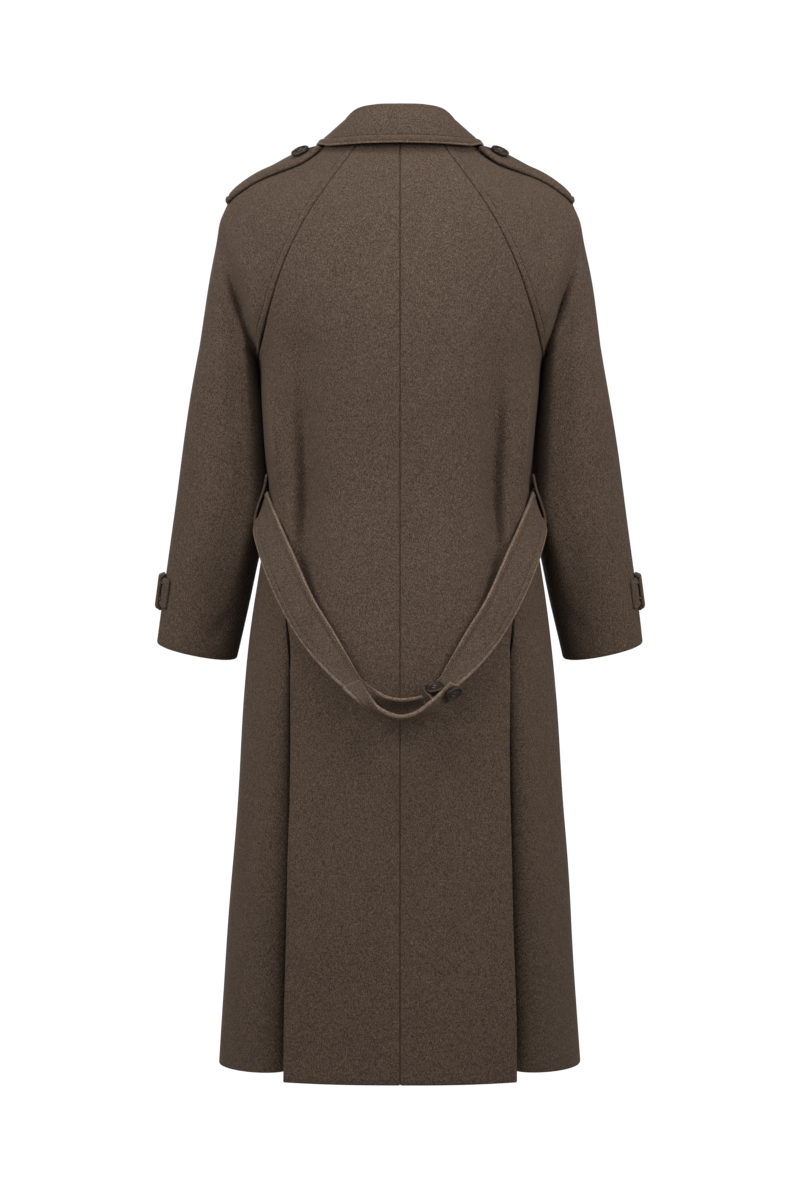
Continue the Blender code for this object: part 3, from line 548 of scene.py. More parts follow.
def front_panel(columns, levels, lap):
    """Middle surface of a front, from its wrap edge past the centre to the side."""
    edge, middle = panel_rows(levels, FRONT_SEAM_TOP_Z, FRONT_TOP_Z, "front_x")
    share = columns[None, :]
    z = middle + (levels[:, None] - middle) * share**2
    start = -angle_at(WRAP, z)
    angle = start + (edge - start) * share
    place, out, speed = ring_frame(angle, z, "front_depth", -1)
    height = lap * (1 - smooth_step(WRAP, WRAP + LAP_RAMP, place[..., 0]))
    return place + out * height[..., None]


def at_lengths(place, length, path):
    """Points of a path at the given lengths along it."""
    return np.stack([np.interp(place, length, path[:, axis]) for axis in range(3)], axis=-1)


def respaced(points, first, last, count):
    """Rows of points set out again by length: close beside both edges, even between them."""
    length = across(points)
    result = np.empty((len(points), len(first) + count + len(last), 3))
    for i, row in enumerate(points):
        far = length[i, -1] - last[::-1]
        place = np.concatenate([first, np.linspace(first[-1], far[0], count + 2)[1:-1], far])
        result[i] = at_lengths(place, length[i], row)
    return result


def welt(distance):
    """Cloth over turned-in seam allowance: full beside the edge, drawn down at its stitching."""
    full = smooth_step(0.0, WELT_ROUND, distance) * (1 - smooth_step(WELT_INSIDE, WELT_STITCH, distance))
    return WELT_HEIGHT * full - WELT_DIP * bell(distance, WELT_STITCH, WELT_DIP_WIDTH)


def line_in(points, out, distance):
    """The line a given distance in from a grid's first column, with its outward directions."""
    length = across(points)
    line = [at_lengths(distance, run, row) for run, row in zip(length, points)]
    away = [at_lengths(distance, run, row) for run, row in zip(length, out)]
    return np.array(line), np.array(away)


# Lockstitch, sewn with thick thread: pitch, length that shows and radius, then how it dips into the
# cloth and thins at both ends
STITCH_PITCH = 0.0036
STITCH_LENGTH = 0.0029
STITCH_RADIUS = 0.00034
STITCH_SIDES = 4
STITCH_SINK = np.array([-0.9, 0.35, 0.35, -0.9]) * STITCH_RADIUS
STITCH_GIRTH = np.array([0.5, 1.0, 1.0, 0.5]) * STITCH_RADIUS


def stitching(name, lines):
    """Rows of stitches, each a short thread on the cloth, joined as one piece."""
    verts, faces = [], []
    total = 0
    turn = (np.arange(STITCH_SIDES) + 0.5) * QUARTER
    for path, out in lines:
        length = run_length(path)
        starts = np.arange(STITCH_PITCH, length[-1] - STITCH_PITCH, STITCH_PITCH)
        stations = starts[:, None] + np.linspace(0.0, STITCH_LENGTH, len(STITCH_SINK))
        place = at_lengths(stations, length, path)
        up = at_lengths(stations, length, out)
        level = np.cross(up, unit(place[:, -1:] - place[:, :1]))
        centre = (place + up * STITCH_SINK[:, None])[:, :, None]
        round_thread = level[:, :, None] * np.cos(turn)[:, None] + up[:, :, None] * np.sin(turn)[:, None]
        made = centre + round_thread * STITCH_GIRTH[:, None, None]
        index = np.arange(made.size // 3).reshape(made.shape[:3]) + total
        after = np.roll(index, -1, axis=2)
        side_faces = np.stack([index[:, :-1], after[:, :-1], after[:, 1:], index[:, 1:]], axis=-1)
        verts.append(made.reshape(-1, 3))
        faces += [side_faces.reshape(-1, 4), index[:, 0, ::-1], index[:, -1]]
        total += made.size // 3
    piece = piece_from(name, np.concatenate(verts), np.concatenate(faces), thread)


def plain_material(name, colour, roughness):
    material, tree, shader = new_material(name)
    set_inputs(tree, shader, {"Base Color": linear(colour), "Roughness": roughness})
    return material


# Sewing thread: spun polyester, dyed to match. It gives fine lines a shade deeper than the wool.
thread = plain_material("sewing_thread", "#463a31", 0.6)

FRONT_COLUMNS = 46
FRONT_DRAWN = 241
front_levels = body_levels(BODY_ROWS, CAP_ROWS, FRONT_SEAM_TOP_Z)
front_lines = []
for hand, lap, side in (("left", 0.0, 1), ("right", LAP_STEP, -1)):
    points = front_panel(np.linspace(0.0, 1.0, FRONT_DRAWN), front_levels, lap)
    points = respaced(points, WELT_STEPS, PLAIN_STEPS, FRONT_COLUMNS)
    if lap:
        points = mirrored(points)
    points = settled(points, side, BODY_CREASES)
    out = facing_out(points, side)
    length = across(points)
    above = CLOTH / 2 + welt(length)
    below = CLOTH / 2 + hem_turn(points)
    piece = wall("front_" + hand + "_cloth", points, out, above, below, wool, ("first_row", "first_column"))
    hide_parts("front_" + hand, "front_side_" + hand)
    front_lines.append(line_in(points + out * above[..., None], out, WELT_STITCH))
stitching("front_stitching", front_lines)

# Sleeves
# Raglan sleeves, each a back half and a front half of melton seamed over the shoulder and
# under the arm. The raglan seams are pressed to the sleeve and topstitched there.
RIDGE = Table(
    ("share", "x", "y", "z"),
    (0.00, 0.0740, 0.000, -0.0010),
    (0.10, 0.1000, -0.001, -0.0134),
    (0.20, 0.1250, -0.002, -0.0225),
    (0.31, 0.1536, -0.003, -0.0358),
    (0.40, 0.1760, -0.004, -0.0456),
    (0.47, 0.1916, -0.005, -0.0553),
    (0.53, 0.2033, -0.006, -0.0647),
    (0.58, 0.2108, -0.006, -0.0736),
    (0.64, 0.2195, -0.007, -0.0900),
    (0.68, 0.2238, -0.007, -0.1000),
    (0.77, 0.2298, -0.0085, -0.1300),
    (0.88, 0.2395, -0.0115, -0.1800),
    (1.00, 0.2505, -0.0175, -0.2560),
)

# How the sleeve leaves the raglan seam and meets its ridge: reach of its curves at both ends
CAP = Table(
    ("share", "back_x", "back_y", "back_ridge", "front_x", "front_y", "front_ridge"),
    (0.00, 0.0147, -0.0103, 0.030, 0.0149, -0.0060, 0.026),
    (0.25, 0.0413, -0.0150, 0.038, 0.0319, -0.0116, 0.042),
    (0.50, 0.0384, -0.0171, 0.058, 0.0347, -0.0155, 0.064),
    (0.70, 0.0305, -0.0190, 0.070, 0.0305, -0.0190, 0.084),
    (0.82, 0.0250, -0.0160, 0.077, 0.0250, -0.0150, 0.100),
    (0.91, 0.0160, 0.0000, 0.082, 0.0160, 0.0130, 0.112),
    (0.96, 0.0080, 0.0270, 0.085, 0.0080, 0.0480, 0.120),
    (1.00, 0.0000, 0.0600, 0.088, 0.0000, 0.0950, 0.128),
)
UNDERARM_STEP = 0.0022
UNDERARM_REACH = 0.45

# Arm part of the sleeve, from the underarm to the cuff: its inner and outer lines
ARM = Table(
    ("share", "inner_x", "inner_y", "inner_z", "outer_x", "outer_y", "outer_z"),
    (0.00, 0.1782, 0.000, -0.275, 0.2505, -0.0175, -0.256),
    (0.16, 0.1710, -0.026, -0.335, 0.2620, -0.0235, -0.318),
    (0.34, 0.1662, -0.034, -0.400, 0.2725, -0.0295, -0.383),
    (0.49, 0.1626, -0.039, -0.455, 0.2800, -0.0345, -0.437),
    (0.66, 0.1790, -0.042, -0.520, 0.2888, -0.0400, -0.502),
    (0.83, 0.1928, -0.046, -0.583, 0.2972, -0.0455, -0.564),
    (1.00, 0.2068, -0.050, -0.646, 0.3058, -0.0500, -0.626),
)

# Reach of the arm's curves backwards and forwards from those two lines
ARM_REACH = Table(
    ("share", "back_inner", "back_outer", "front_inner", "front_outer"),
    (0.00, 0.060, 0.088, 0.095, 0.128),
    (0.16, 0.080, 0.091, 0.098, 0.112),
    (0.34, 0.089, 0.092, 0.090, 0.095),
    (0.49, 0.088, 0.088, 0.083, 0.084),
    (0.66, 0.080, 0.080, 0.076, 0.076),
    (0.83, 0.0715, 0.0715, 0.072, 0.072),
    (1.00, 0.068, 0.068, 0.068, 0.068),
)
ARM_SWING = math.radians(8.0)

# Deep fold of the sleeve that runs down into the arm hole, as seen from behind
SLEEVE_FOLD = Table(
    ("z", "x", "depth", "width"),
    (-0.400, 0.1665, 0.000, 0.0055),
    (-0.340, 0.1700, 0.003, 0.0055),
    (-0.300, 0.1745, 0.008, 0.0055),
    (-0.268, 0.1800, 0.017, 0.0060),
    (-0.235, 0.1890, 0.020, 0.0070),
    (-0.190, 0.2025, 0.016, 0.0085),
    (-0.155, 0.2130, 0.009, 0.0105),
    (-0.120, 0.2230, 0.003, 0.0130),
    (-0.085, 0.2310, 0.000, 0.0150),
)

# Softer folds beside it, in x and z; a ridge has a negative depth
SLEEVE_FOLDS = named(
    ("start", "end", "depth", "width"),
    ((0.228, -0.100), (0.190, -0.235), 0.003, 0.015),
    ((0.192, -0.100), (0.166, -0.165), 0.003, 0.012),
    ((0.208, -0.125), (0.176, -0.240), -0.004, 0.008),
)

# Fullness of the sleeve behind the arm: its height, and its place and width across the half
SLEEVE_FULL_HEIGHT = 0.014
SLEEVE_FULL_PLACE = 0.22
SLEEVE_FULL_WIDTH = 0.13
SLEEVE_FULL_TOP = (-0.18, -0.31)
SLEEVE_FULL_FOOT = (-0.62, -0.50)

# Where along a fold it has grown to full depth and where it fades, and what is lost by then
FOLD_GROWN = 0.45
FOLD_FADES = 0.80
FOLD_LOSS = 0.8

# Where across the half the folds begin by the seam and end by the ridge
FOLD_SEAM_END = 0.06
FOLD_RIDGE_END = 0.80

# Softer creases of the arms, left then right
SLEEVE_CREASES = named(
    ("start", "end", "depth", "width"),
    ((0.252, 0.005, -0.640), (0.192, -0.005, -0.575), 0.0020, 0.010),
    ((0.236, 0.030, -0.330), (0.222, 0.035, -0.470), 0.0018, 0.018),
    ((0.285, -0.060, -0.430), (0.220, -0.100, -0.400), 0.0040, 0.011),
    ((0.280, -0.070, -0.395), (0.205, -0.100, -0.350), 0.0032, 0.012),
    ((0.285, -0.075, -0.475), (0.225, -0.098, -0.462), 0.0026, 0.010),
    ((-0.248, 0.005, -0.630), (-0.196, -0.005, -0.580), 0.0015, 0.011),
    ((-0.240, 0.030, -0.350), (-0.230, 0.035, -0.500), 0.0020, 0.020),
    ((-0.285, -0.060, -0.445), (-0.215, -0.100, -0.420), 0.0036, 0.012),
    ((-0.278, -0.070, -0.405), (-0.205, -0.100, -0.375), 0.0038, 0.010),
)


def bezier(share, start, start_reach, end_reach, end):
    """Cubic curves: one row for each set of ends, one column for each share."""
    share = share[None, :, None]
    start, end = start[:, None, :], end[:, None, :]
    near = start + start_reach[:, None, :]
    far = end + end_reach[:, None, :]
    rest = 1 - share
    return start * rest**3 + 3 * near * rest**2 * share + 3 * far * rest * share**2 + end * share**3


def cap_rows(columns, rows, facing):
    """Shoulder part of half a left sleeve: columns from seam to ridge, rows from neck to underarm."""
    half = "back" if facing > 0 else "front"
    top = BACK_SEAM_TOP_Z if facing > 0 else FRONT_SEAM_TOP_Z
    levels = UNDERARM_Z + (top - UNDERARM_Z) * np.linspace(1.0, 0.0, rows + 1) ** CAP_CROWDING
    angle = angle_at(RAGLAN.at(half + "_x", levels), levels)
    seam, out, speed = ring_frame(angle, levels, half + "_depth", facing)
    length = run_length(seam)
    share = length / length[-1]
    lead = np.stack([CAP.at(half + "_x", share), facing * CAP.at(half + "_y", share), 0 * share], axis=-1)
    start = seam + out * UNDERARM_STEP * smooth_step(UNDERARM_REACH, 1.0, share)[:, None]
    ridge_reach = np.stack([0 * share, facing * CAP.at(half + "_ridge", share), 0 * share], axis=-1)
    return bezier(columns, start, lead, ridge_reach, RIDGE.points("", share))


def arm_rows(columns, share, facing):
    """Arm part of half a left sleeve: columns from the inner seam to the ridge, rows down to the cuff."""
    half = "back" if facing > 0 else "front"
    tilt = ARM_SWING * smooth_step(0.0, 1.0, share)
    swing = np.stack([0 * tilt, facing * np.cos(tilt), -facing * np.sin(tilt)], axis=-1)
    start_reach = swing * ARM_REACH.at(half + "_inner", share)[:, None]
    end_reach = swing * ARM_REACH.at(half + "_outer", share)[:, None]
    start = ARM.points("inner_", share)
    return bezier(columns, start, start_reach, end_reach, ARM.points("outer_", share))


def sleeve_half(columns, cap_count, arm_count, facing):
    """Middle surface of half a left sleeve, rows from the neck to the cuff."""
    cap = cap_rows(columns, cap_count, facing)
    arm = arm_rows(columns, np.linspace(0.0, 1.0, arm_count + 1)[1:], facing)
    points = np.concatenate([cap, arm])
    if facing < 0:
        return points
    normals = facing_out(points, facing)
    edge_fade = smooth_step(0.0, FOLD_SEAM_END, columns) * (1 - smooth_step(FOLD_RIDGE_END, 1.0, columns))
    for fold in SLEEVE_FOLDS:
        along, gap = from_line(points[..., [0, 2]], fold)
        strength = smooth_step(0.0, FOLD_GROWN, along) * (1 - FOLD_LOSS * smooth_step(FOLD_FADES, 1.0, along))
        sink = fold["depth"] * strength * bell(gap, 0.0, fold["width"])
        points = points - normals * (sink * edge_fade)[..., None]
    z = points[..., 2]
    near = bell(points[..., 0], SLEEVE_FOLD.at("x", z), SLEEVE_FOLD.at("width", z))
    points[..., 1] -= SLEEVE_FOLD.at("depth", z) * near * edge_fade
    full = smooth_step(*SLEEVE_FULL_TOP, z) * smooth_step(*SLEEVE_FULL_FOOT, z)
    points[..., 1] += SLEEVE_FULL_HEIGHT * full * bell(columns, SLEEVE_FULL_PLACE, SLEEVE_FULL_WIDTH)
    return points


ARM_ROWS = 92
SLEEVE_COLUMNS = 76
SLEEVE_DRAWN = 161

# Rows above the underarm where the raglan welt begins to fade, has gone, and where its stitching stops
WELT_FADE_ROWS = 14
WELT_GONE_ROWS = 2
STITCH_STOP_ROWS = 6
CUFF_TURN_ROWS = 10
sleeve_lines = []
for facing, half in ((1, "back"), (-1, "front")):
    drawn = sleeve_half(np.linspace(0.0, 1.0, SLEEVE_DRAWN), CAP_ROWS, ARM_ROWS, facing)
    drawn = respaced(drawn, WELT_STEPS, PLAIN_STEPS, SLEEVE_COLUMNS)
    for hand, side in (("left", facing), ("right", -facing)):
        points = settled(drawn if hand == "left" else mirrored(drawn), side, SLEEVE_CREASES)
        out = facing_out(points, side)
        length = across(points)
        row = np.arange(len(points))[:, None]
        raglan = 1 - smooth_step(CAP_ROWS - WELT_FADE_ROWS, CAP_ROWS - WELT_GONE_ROWS, row)
        above = CLOTH / 2 + welt(length) * raglan + groove(length) * raglan * RAGLAN_SEAM
        cuff = len(points) - CUFF_TURN_ROWS
        turned = smooth_step(cuff - 0.5, cuff + 0.5, row)
        below = CLOTH / 2 + CLOTH * TURN_UP_SHARE * turned
        name = "sleeve_" + half + "_" + hand
        piece = wall(name + "_cloth", points, out, above, below, wool, ("last_row",))
        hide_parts(name)
        line, away = line_in(points + out * above[..., None], out, WELT_STITCH)
        stop = CAP_ROWS - STITCH_STOP_ROWS
        sleeve_lines.append((line[:stop], away[:stop]))
stitching("raglan_stitching", sleeve_lines)

# Collar
# One band of two layers of melton, seamed to the neckline, folded over itself and pressed.
# Its outer edge is turned and topstitched all round.
COLLAR_THICK = 0.0030
COLLAR = Table(
    ("share", "fold_x", "fold_y", "fold_z", "edge_x", "edge_y", "edge_z", "bulge"),
    (0.00, 0.000, 0.0710, 0.0328, 0.0000, 0.0935, -0.0155, 0.0030),
    (0.16, 0.029, 0.0680, 0.0323, 0.0450, 0.0860, -0.0155, 0.0030),
    (0.32, 0.053, 0.0500, 0.0290, 0.0840, 0.0600, -0.0145, 0.0020),
    (0.52, 0.071, -0.0120, 0.0115, 0.1035, -0.0100, -0.0060, 0.0010),
    (0.68, 0.065, -0.0550, -0.0110, 0.0990, -0.0680, -0.0260, 0.0050),
    (0.84, 0.042, -0.0800, -0.0450, 0.0790, -0.1090, -0.0740, 0.0070),
    (1.00, 0.008, -0.0930, -0.0650, 0.0480, -0.1280, -0.1220, 0.0040),
)
COLLAR_FOLD_RADIUS = 0.0042
COLLAR_END_X = 0.004
COLLAR_LIFT = 0.0006
COLLAR_DEPTH = 0.050
COLLAR_EDGE = {"height": 0.0012, "place": 0.0034, "width": 0.0030, "dip": 0.0010, "dip_width": 0.0011}
NECK_POINTS = 97
NECK_ROWS = (34, 12, 14, 36)
STAND_COLUMNS = 8
ROLL_COLUMNS = 12
FALL_COLUMNS = 16
FALL_RAMP = 4
END_ROWS = 4


def neckline(counts):
    """Points along the left neckline from the centre back to the collar's front end, and their shares."""
    share = np.linspace(0.0, 1.0, NECK_POINTS)
    front_edge = front_panel(share, np.array([FRONT_SEAM_TOP_Z]), 0.0)[0, ::-1]
    edges = (
        back_panel(share, np.array([BACK_SEAM_TOP_Z]))[0],
        cap_rows(share, 1, 1)[0],
        cap_rows(share, 1, -1)[0, ::-1],
        front_edge[front_edge[:, 0] > COLLAR_END_X],
    )
    path = edges[0][:1]
    for edge, count in zip(edges, counts):
        length = run_length(edge)
        place = np.linspace(0.0, length[-1], count + 1)[1:]
        path = np.concatenate([path, at_lengths(place, length, edge)])
    length = run_length(path)
    return path, length / length[-1]


def collar_half(fall):
    """Middle surface of the collar's left half: rows along the neck, columns over the fold."""
    up = np.array([0.0, 0.0, 1.0])
    seam, share = neckline(NECK_ROWS)
    seam = seam + up * COLLAR_LIFT
    fold, edge = COLLAR.points("fold_", share), COLLAR.points("edge_", share)
    out = unit((edge - fold) * np.array([1.0, 1.0, 0.0]))
    centre = fold - up * COLLAR_FOLD_RADIUS
    stand_top = centre - out * COLLAR_FOLD_RADIUS
    fall_top = centre + out * COLLAR_FOLD_RADIUS
    columns = [seam + (stand_top - seam) * k / STAND_COLUMNS for k in range(STAND_COLUMNS)]
    for k in range(ROLL_COLUMNS + 1):
        turn = math.pi * (1 - k / ROLL_COLUMNS)
        columns.append(centre + (out * math.cos(turn) + up * math.sin(turn)) * COLLAR_FOLD_RADIUS)
    for down in fall[1:]:
        bulge = (out + up) * math.sin(math.pi * down) * COLLAR.at("bulge", share)[:, None]
        columns.append(fall_top + (edge - fall_top) * down + bulge)
    return np.stack(columns, axis=1)


def turned_edge(distance, edge, stitch):
    """A turned edge: full and rounded outside its topstitching, drawn down along it."""
    full = edge["height"] * bell(distance, edge["place"], edge["width"])
    return full - edge["dip"] * bell(distance, stitch, edge["dip_width"])


def from_ends(points):
    """Length from the nearer end of a grid of points, down its columns."""
    along = across(points.transpose(1, 0, 2)).T
    return np.minimum(along, along[-1:] - along)


# Painted highlight on turned and pressed edges: a paler copy of the melton on their rounded rims, for the
# light they catch, drawn as a paler line along the cloth.
painted_edge_highlight = wool_melton("wool_painted_edge_highlight", EDGE_HIGHLIGHT_DARK, EDGE_HIGHLIGHT_LIGHT)

edge_shares = 1.0 - WELT_STEPS[::-1] / COLLAR_DEPTH
half = collar_half(np.concatenate([np.linspace(0.0, edge_shares[0], FALL_COLUMNS)[:-1], edge_shares]))
points = np.concatenate([mirrored(half)[:0:-1], half])
out = facing_out(points, -1)
length = across(points)
from_edge = np.minimum(length[:, -1:] - length, from_ends(points))
fall_start = STAND_COLUMNS + ROLL_COLUMNS
on_fall = smooth_step(fall_start, fall_start + FALL_RAMP, np.arange(points.shape[1]))
above = COLLAR_THICK / 2 + turned_edge(from_edge, COLLAR_EDGE, WELT_STITCH) * on_fall
free = ("first_row", "last_row", "last_column")
# The collar's rims take the painted edge highlight
piece = wall("collar_cloth", points, out, above, COLLAR_THICK / 2, wool, free, painted_edge_highlight)
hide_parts("collar")
line, away = line_in((points + out * above[..., None])[:, ::-1], out[:, ::-1], WELT_STITCH)
stitching("collar_stitching", [(line[END_ROWS:-END_ROWS], away[END_ROWS:-END_ROWS])])

# Shoulder straps and their buttons
# Each strap is two layers of melton round a canvas, turned, pressed and caught in the seam at the
# sleeve end. Its pointed end lies by the collar and is buttoned down to the shoulder.
EPAULETTE = Table(
    ("share", "behind", "half_width", "lift"),
    (0.108, 0.0340, 0.0030, 0.0014),
    (0.125, 0.0340, 0.0090, 0.0014),
    (0.150, 0.0330, 0.0155, 0.0014),
    (0.180, 0.0320, 0.0205, 0.0014),
    (0.210, 0.0305, 0.0235, 0.0012),
    (0.240, 0.0275, 0.0238, 0.0010),
    (0.300, 0.0205, 0.0230, 0.0008),
    (0.420, 0.0135, 0.0225, 0.0004),
    (0.540, 0.0070, 0.0225, 0.0004),
    (0.593, 0.0000, 0.0225, 0.0004),
)
EPAULETTE_THICK = 0.0045
EPAULETTE_BUTTON_SHARE = 0.1896
EPAULETTE_BUTTON_LEAN = math.radians(6.0)
EPAULETTE_POINT_END = 0.21
EPAULETTE_POINT_ROWS = 29
EPAULETTE_ROWS = 46
EPAULETTE_WIDTH = 0.042
RIDGE_REACH = 0.35
RIDGE_COLUMNS = 80
RIDGE_ROWS = 600
STRAP_EDGE = {"height": 0.0011, "place": 0.0026, "width": 0.0022, "dip": 0.0010, "dip_width": 0.0010}
STRAP_STITCH = 0.0055
STRAP_STEPS = np.array([0.0, 0.6, 1.3, 2.2, 3.2, 4.2, 4.9, 5.5, 6.1, 7.0]) / 1000
STRAP_COLUMNS = 7
ALL_EDGES = ("first_row", "last_row", "first_column", "last_column")
LAY_GAP = 0.0005


def on_ridge(share, behind):
    """Points of the left shoulder at shares of the ridge, moved behind it along the cloth."""
    columns = np.linspace(RIDGE_REACH, 1.0, RIDGE_COLUMNS)
    halves = {facing: cap_rows(columns, RIDGE_ROWS, facing)[:, ::-1] for facing in (1, -1)}
    wanted = RIDGE.points("", share)
    points = np.empty(behind.shape + (3,))
    for i, j in np.ndindex(behind.shape):
        half = halves[1 if behind[i, j] >= 0 else -1]
        row = int(np.argmin(np.linalg.norm(half[:, 0] - wanted[i], axis=1)))
        line = half[row] + wanted[i] - half[row, 0]
        points[i, j] = at_lengths(abs(behind[i, j]), run_length(line), line)
    return points


def strap_shares(width):
    """Places across a strap, close together beside its edges and their topstitching."""
    inside = np.linspace(STRAP_STEPS[-1], width - STRAP_STEPS[-1], STRAP_COLUMNS)[1:-1]
    return np.concatenate([STRAP_STEPS, inside, width - STRAP_STEPS[::-1]]) / width


def strap(name, points, side, thickness, rim):
    """A turned strap about its middle surface, topstitched along both its long edges."""
    out = facing_out(points, side)
    length = across(points)
    from_end = from_ends(points)
    distance = np.minimum(np.minimum(length, length[:, -1:] - length), from_end)
    half = thickness / 2 + turned_edge(distance, STRAP_EDGE, STRAP_STITCH)
    # The rim finish paints a highlight on the rounded edges where a paler material is given; plain wool
    # leaves them as they are
    piece = wall(name + "_cloth", points, out, half, half, wool, ALL_EDGES, rim)
    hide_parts(name)
    top = points + out * half[..., None]
    inside = np.nonzero(from_end[:, points.shape[1] // 2] > STRAP_STITCH)[0]
    rows = slice(inside[0], inside[-1] + 1)
    first = line_in(top[rows], out[rows], STRAP_STITCH)
    last = line_in(top[rows, ::-1], out[rows, ::-1], STRAP_STITCH)
    stitching(name + "_stitching", [first, last])
    return piece


# Horn button: its holes, the drill that makes them, its facets, and the thread that sews it on
BUTTON_FACE = 0.0030
BUTTON_FOOT = 0.0100
BUTTON_PROFILE_STEPS = 57
BUTTON_SIDES = 64
BUTTON_SHARP = math.radians(40)
HOLE_RADIUS = 0.0010
HOLE_PLACE = 0.0021
HOLE_SIDES = 20
DRILL_LENGTH = 0.02
THREAD_SIDES = 8
THREAD_RADIUS = 0.36 * HOLE_RADIUS
THREAD_STRANDS = (-0.5, 0.0, 0.5)
THREAD_POINTS = 13
THREAD_LOW = 0.0019
THREAD_RISE = 0.0018
STALK_PATH = ((0.0, 0.0, -0.0012), (0.0, 0.0, 0.0004), (0.0, 0.0008, 0.0012))
STALK_RADIUS = 0.0022


def horn_button_mesh():
    """A four-hole button, turned: raised rim, dished face, rounded back."""
    profile = Table(
        ("step", "distance", "height"),
        (0.0, 0.0000, BUTTON_FACE),
        (1.0, 0.0066, BUTTON_FACE),
        (2.0, 0.0082, 0.0037),
        (3.0, 0.0096, 0.0042),
        (4.0, 0.0111, 0.0038),
        (5.0, 0.0118, 0.0024),
        (6.0, 0.0111, 0.0007),
        (7.0, 0.0100, 0.0000),
        (8.0, 0.0000, 0.0000),
    )
    step = np.linspace(0.0, profile.position[-1], BUTTON_PROFILE_STEPS)[1:-1]
    turn = np.linspace(0.0, 2 * math.pi, BUTTON_SIDES, endpoint=False)[:, None]
    distance, height = profile.at("distance", step), profile.at("height", step)
    rings = np.stack(np.broadcast_arrays(np.cos(turn) * distance, np.sin(turn) * distance, height), axis=-1)
    shape = bmesh.new()
    verts = [[shape.verts.new(p) for p in line] for line in rings]
    top, foot = shape.verts.new((0.0, 0.0, BUTTON_FACE)), shape.verts.new((0.0, 0.0, 0.0))
    for here, after in zip(verts, verts[1:] + verts[:1]):
        shape.faces.new((top, here[0], after[0]))
        for k in range(len(here) - 1):
            shape.faces.new((here[k], here[k + 1], after[k + 1], after[k]))
        shape.faces.new((here[-1], foot, after[-1]))
    bmesh.ops.recalc_face_normals(shape, faces=shape.faces)
    blank = bpy.data.meshes.new("button_blank")
    shape.to_mesh(blank)
    shape.free()
    drill = bmesh.new()
    size = {"segments": HOLE_SIDES, "radius1": HOLE_RADIUS, "radius2": HOLE_RADIUS, "depth": DRILL_LENGTH}
    for x in (-HOLE_PLACE, HOLE_PLACE):
        for y in (-HOLE_PLACE, HOLE_PLACE):
            hole = bmesh.ops.create_cone(drill, cap_ends=True, **size)
            bmesh.ops.translate(drill, verts=hole["verts"], vec=(x, y, 0.0))
    drills = bpy.data.meshes.new("button_drills")
    drill.to_mesh(drills)
    drill.free()
    body = placed("button_blank", blank)
    tool = placed("button_drills", drills)
    cut = body.modifiers.new("holes", "BOOLEAN")
    cut.operation = "DIFFERENCE"
    cut.solver = "EXACT"
    cut.object = tool
    seen = bpy.context.evaluated_depsgraph_get()
    mesh = bpy.data.meshes.new_from_object(body.evaluated_get(seen))
    for thing in (body, tool):
        bpy.data.objects.remove(thing, do_unlink=True)
    mesh.name = "horn_button"
    mesh.materials.clear()
    mesh.materials.append(horn)
    mesh.shade_smooth()
    mesh.set_sharp_from_angle(angle=BUTTON_SHARP)
    return mesh


def button_thread_mesh():
    """Sewing of a button: two bars of thread from hole to hole, and the stalk below."""
    verts, faces = [], []
    turn = np.linspace(0.0, 2 * math.pi, THREAD_SIDES, endpoint=False)

    def tube(path, radius):
        along = unit(np.gradient(path, axis=0))
        level = unit(np.cross(along, [0.0, 1.0, 0.0]))
        other = np.cross(along, level)
        ends = level[:, None] * np.cos(turn)[:, None] + other[:, None] * np.sin(turn)[:, None]
        start = sum(len(v) for v in verts)
        index = start + np.arange(len(path) * len(turn)).reshape(len(path), len(turn))
        after = np.roll(index, -1, axis=1)
        quads = np.stack([index[:-1], after[:-1], after[1:], index[1:]], axis=-1)
        verts.append((path[:, None] + ends * radius).reshape(-1, 3))
        faces.extend(quads.reshape(-1, 4).tolist())
        faces.append(index[0, ::-1].tolist())
        faces.append(index[-1].tolist())

    sweep = np.linspace(math.pi, 0.0, THREAD_POINTS)
    x, z = -HOLE_PLACE * np.cos(sweep), THREAD_LOW + THREAD_RISE * np.sin(sweep)
    for y in (HOLE_PLACE, -HOLE_PLACE):
        for strand in THREAD_STRANDS:
            tube(np.stack(np.broadcast_arrays(x, y + strand * HOLE_RADIUS, z), axis=-1), THREAD_RADIUS)
    tube(np.array(STALK_PATH), STALK_RADIUS)
    mesh = bpy.data.meshes.new("button_thread")
    mesh.from_pydata(np.concatenate(verts).tolist(), [], faces)
    mesh.materials.append(thread)
    mesh.shade_smooth()
    return mesh


# Dark horn: turned and polished, nearly black brown with paler streaks and a soft shine.
HORN_DARK = "#130d09"
HORN_LIGHT = "#2b2019"
HORN_STREAK = (0.012, 0.003, 0.006)
STREAK_DARK_UP_TO = 0.38
STREAK_LIGHT_FROM = 0.72


def dark_horn():
    material, tree, shader = new_material("dark_horn")
    place = node(tree, "ShaderNodeTexCoord", "Object")
    scale = [1 / size for size in HORN_STREAK]
    drawn = node(tree, "ShaderNodeMapping", "Vector", {"Vector": place, "Scale": scale})
    wavy = {"Vector": drawn, "Scale": 1.0, "Detail": 3.0, "Distortion": 0.6}
    streak = node(tree, "ShaderNodeTexNoise", "Fac", wavy)
    stops = [(STREAK_DARK_UP_TO, linear(HORN_DARK)), (STREAK_LIGHT_FROM, linear(HORN_LIGHT))]
    colour = node(tree, "ShaderNodeValToRGB", "Color", {"Fac": streak}, stops)
    set_inputs(tree, shader, {"Base Color": colour, "Roughness": 0.45, "Specular IOR Level": 0.2})
    return material


horn = dark_horn()
button_mesh = horn_button_mesh()
sewing_mesh = button_thread_mesh()


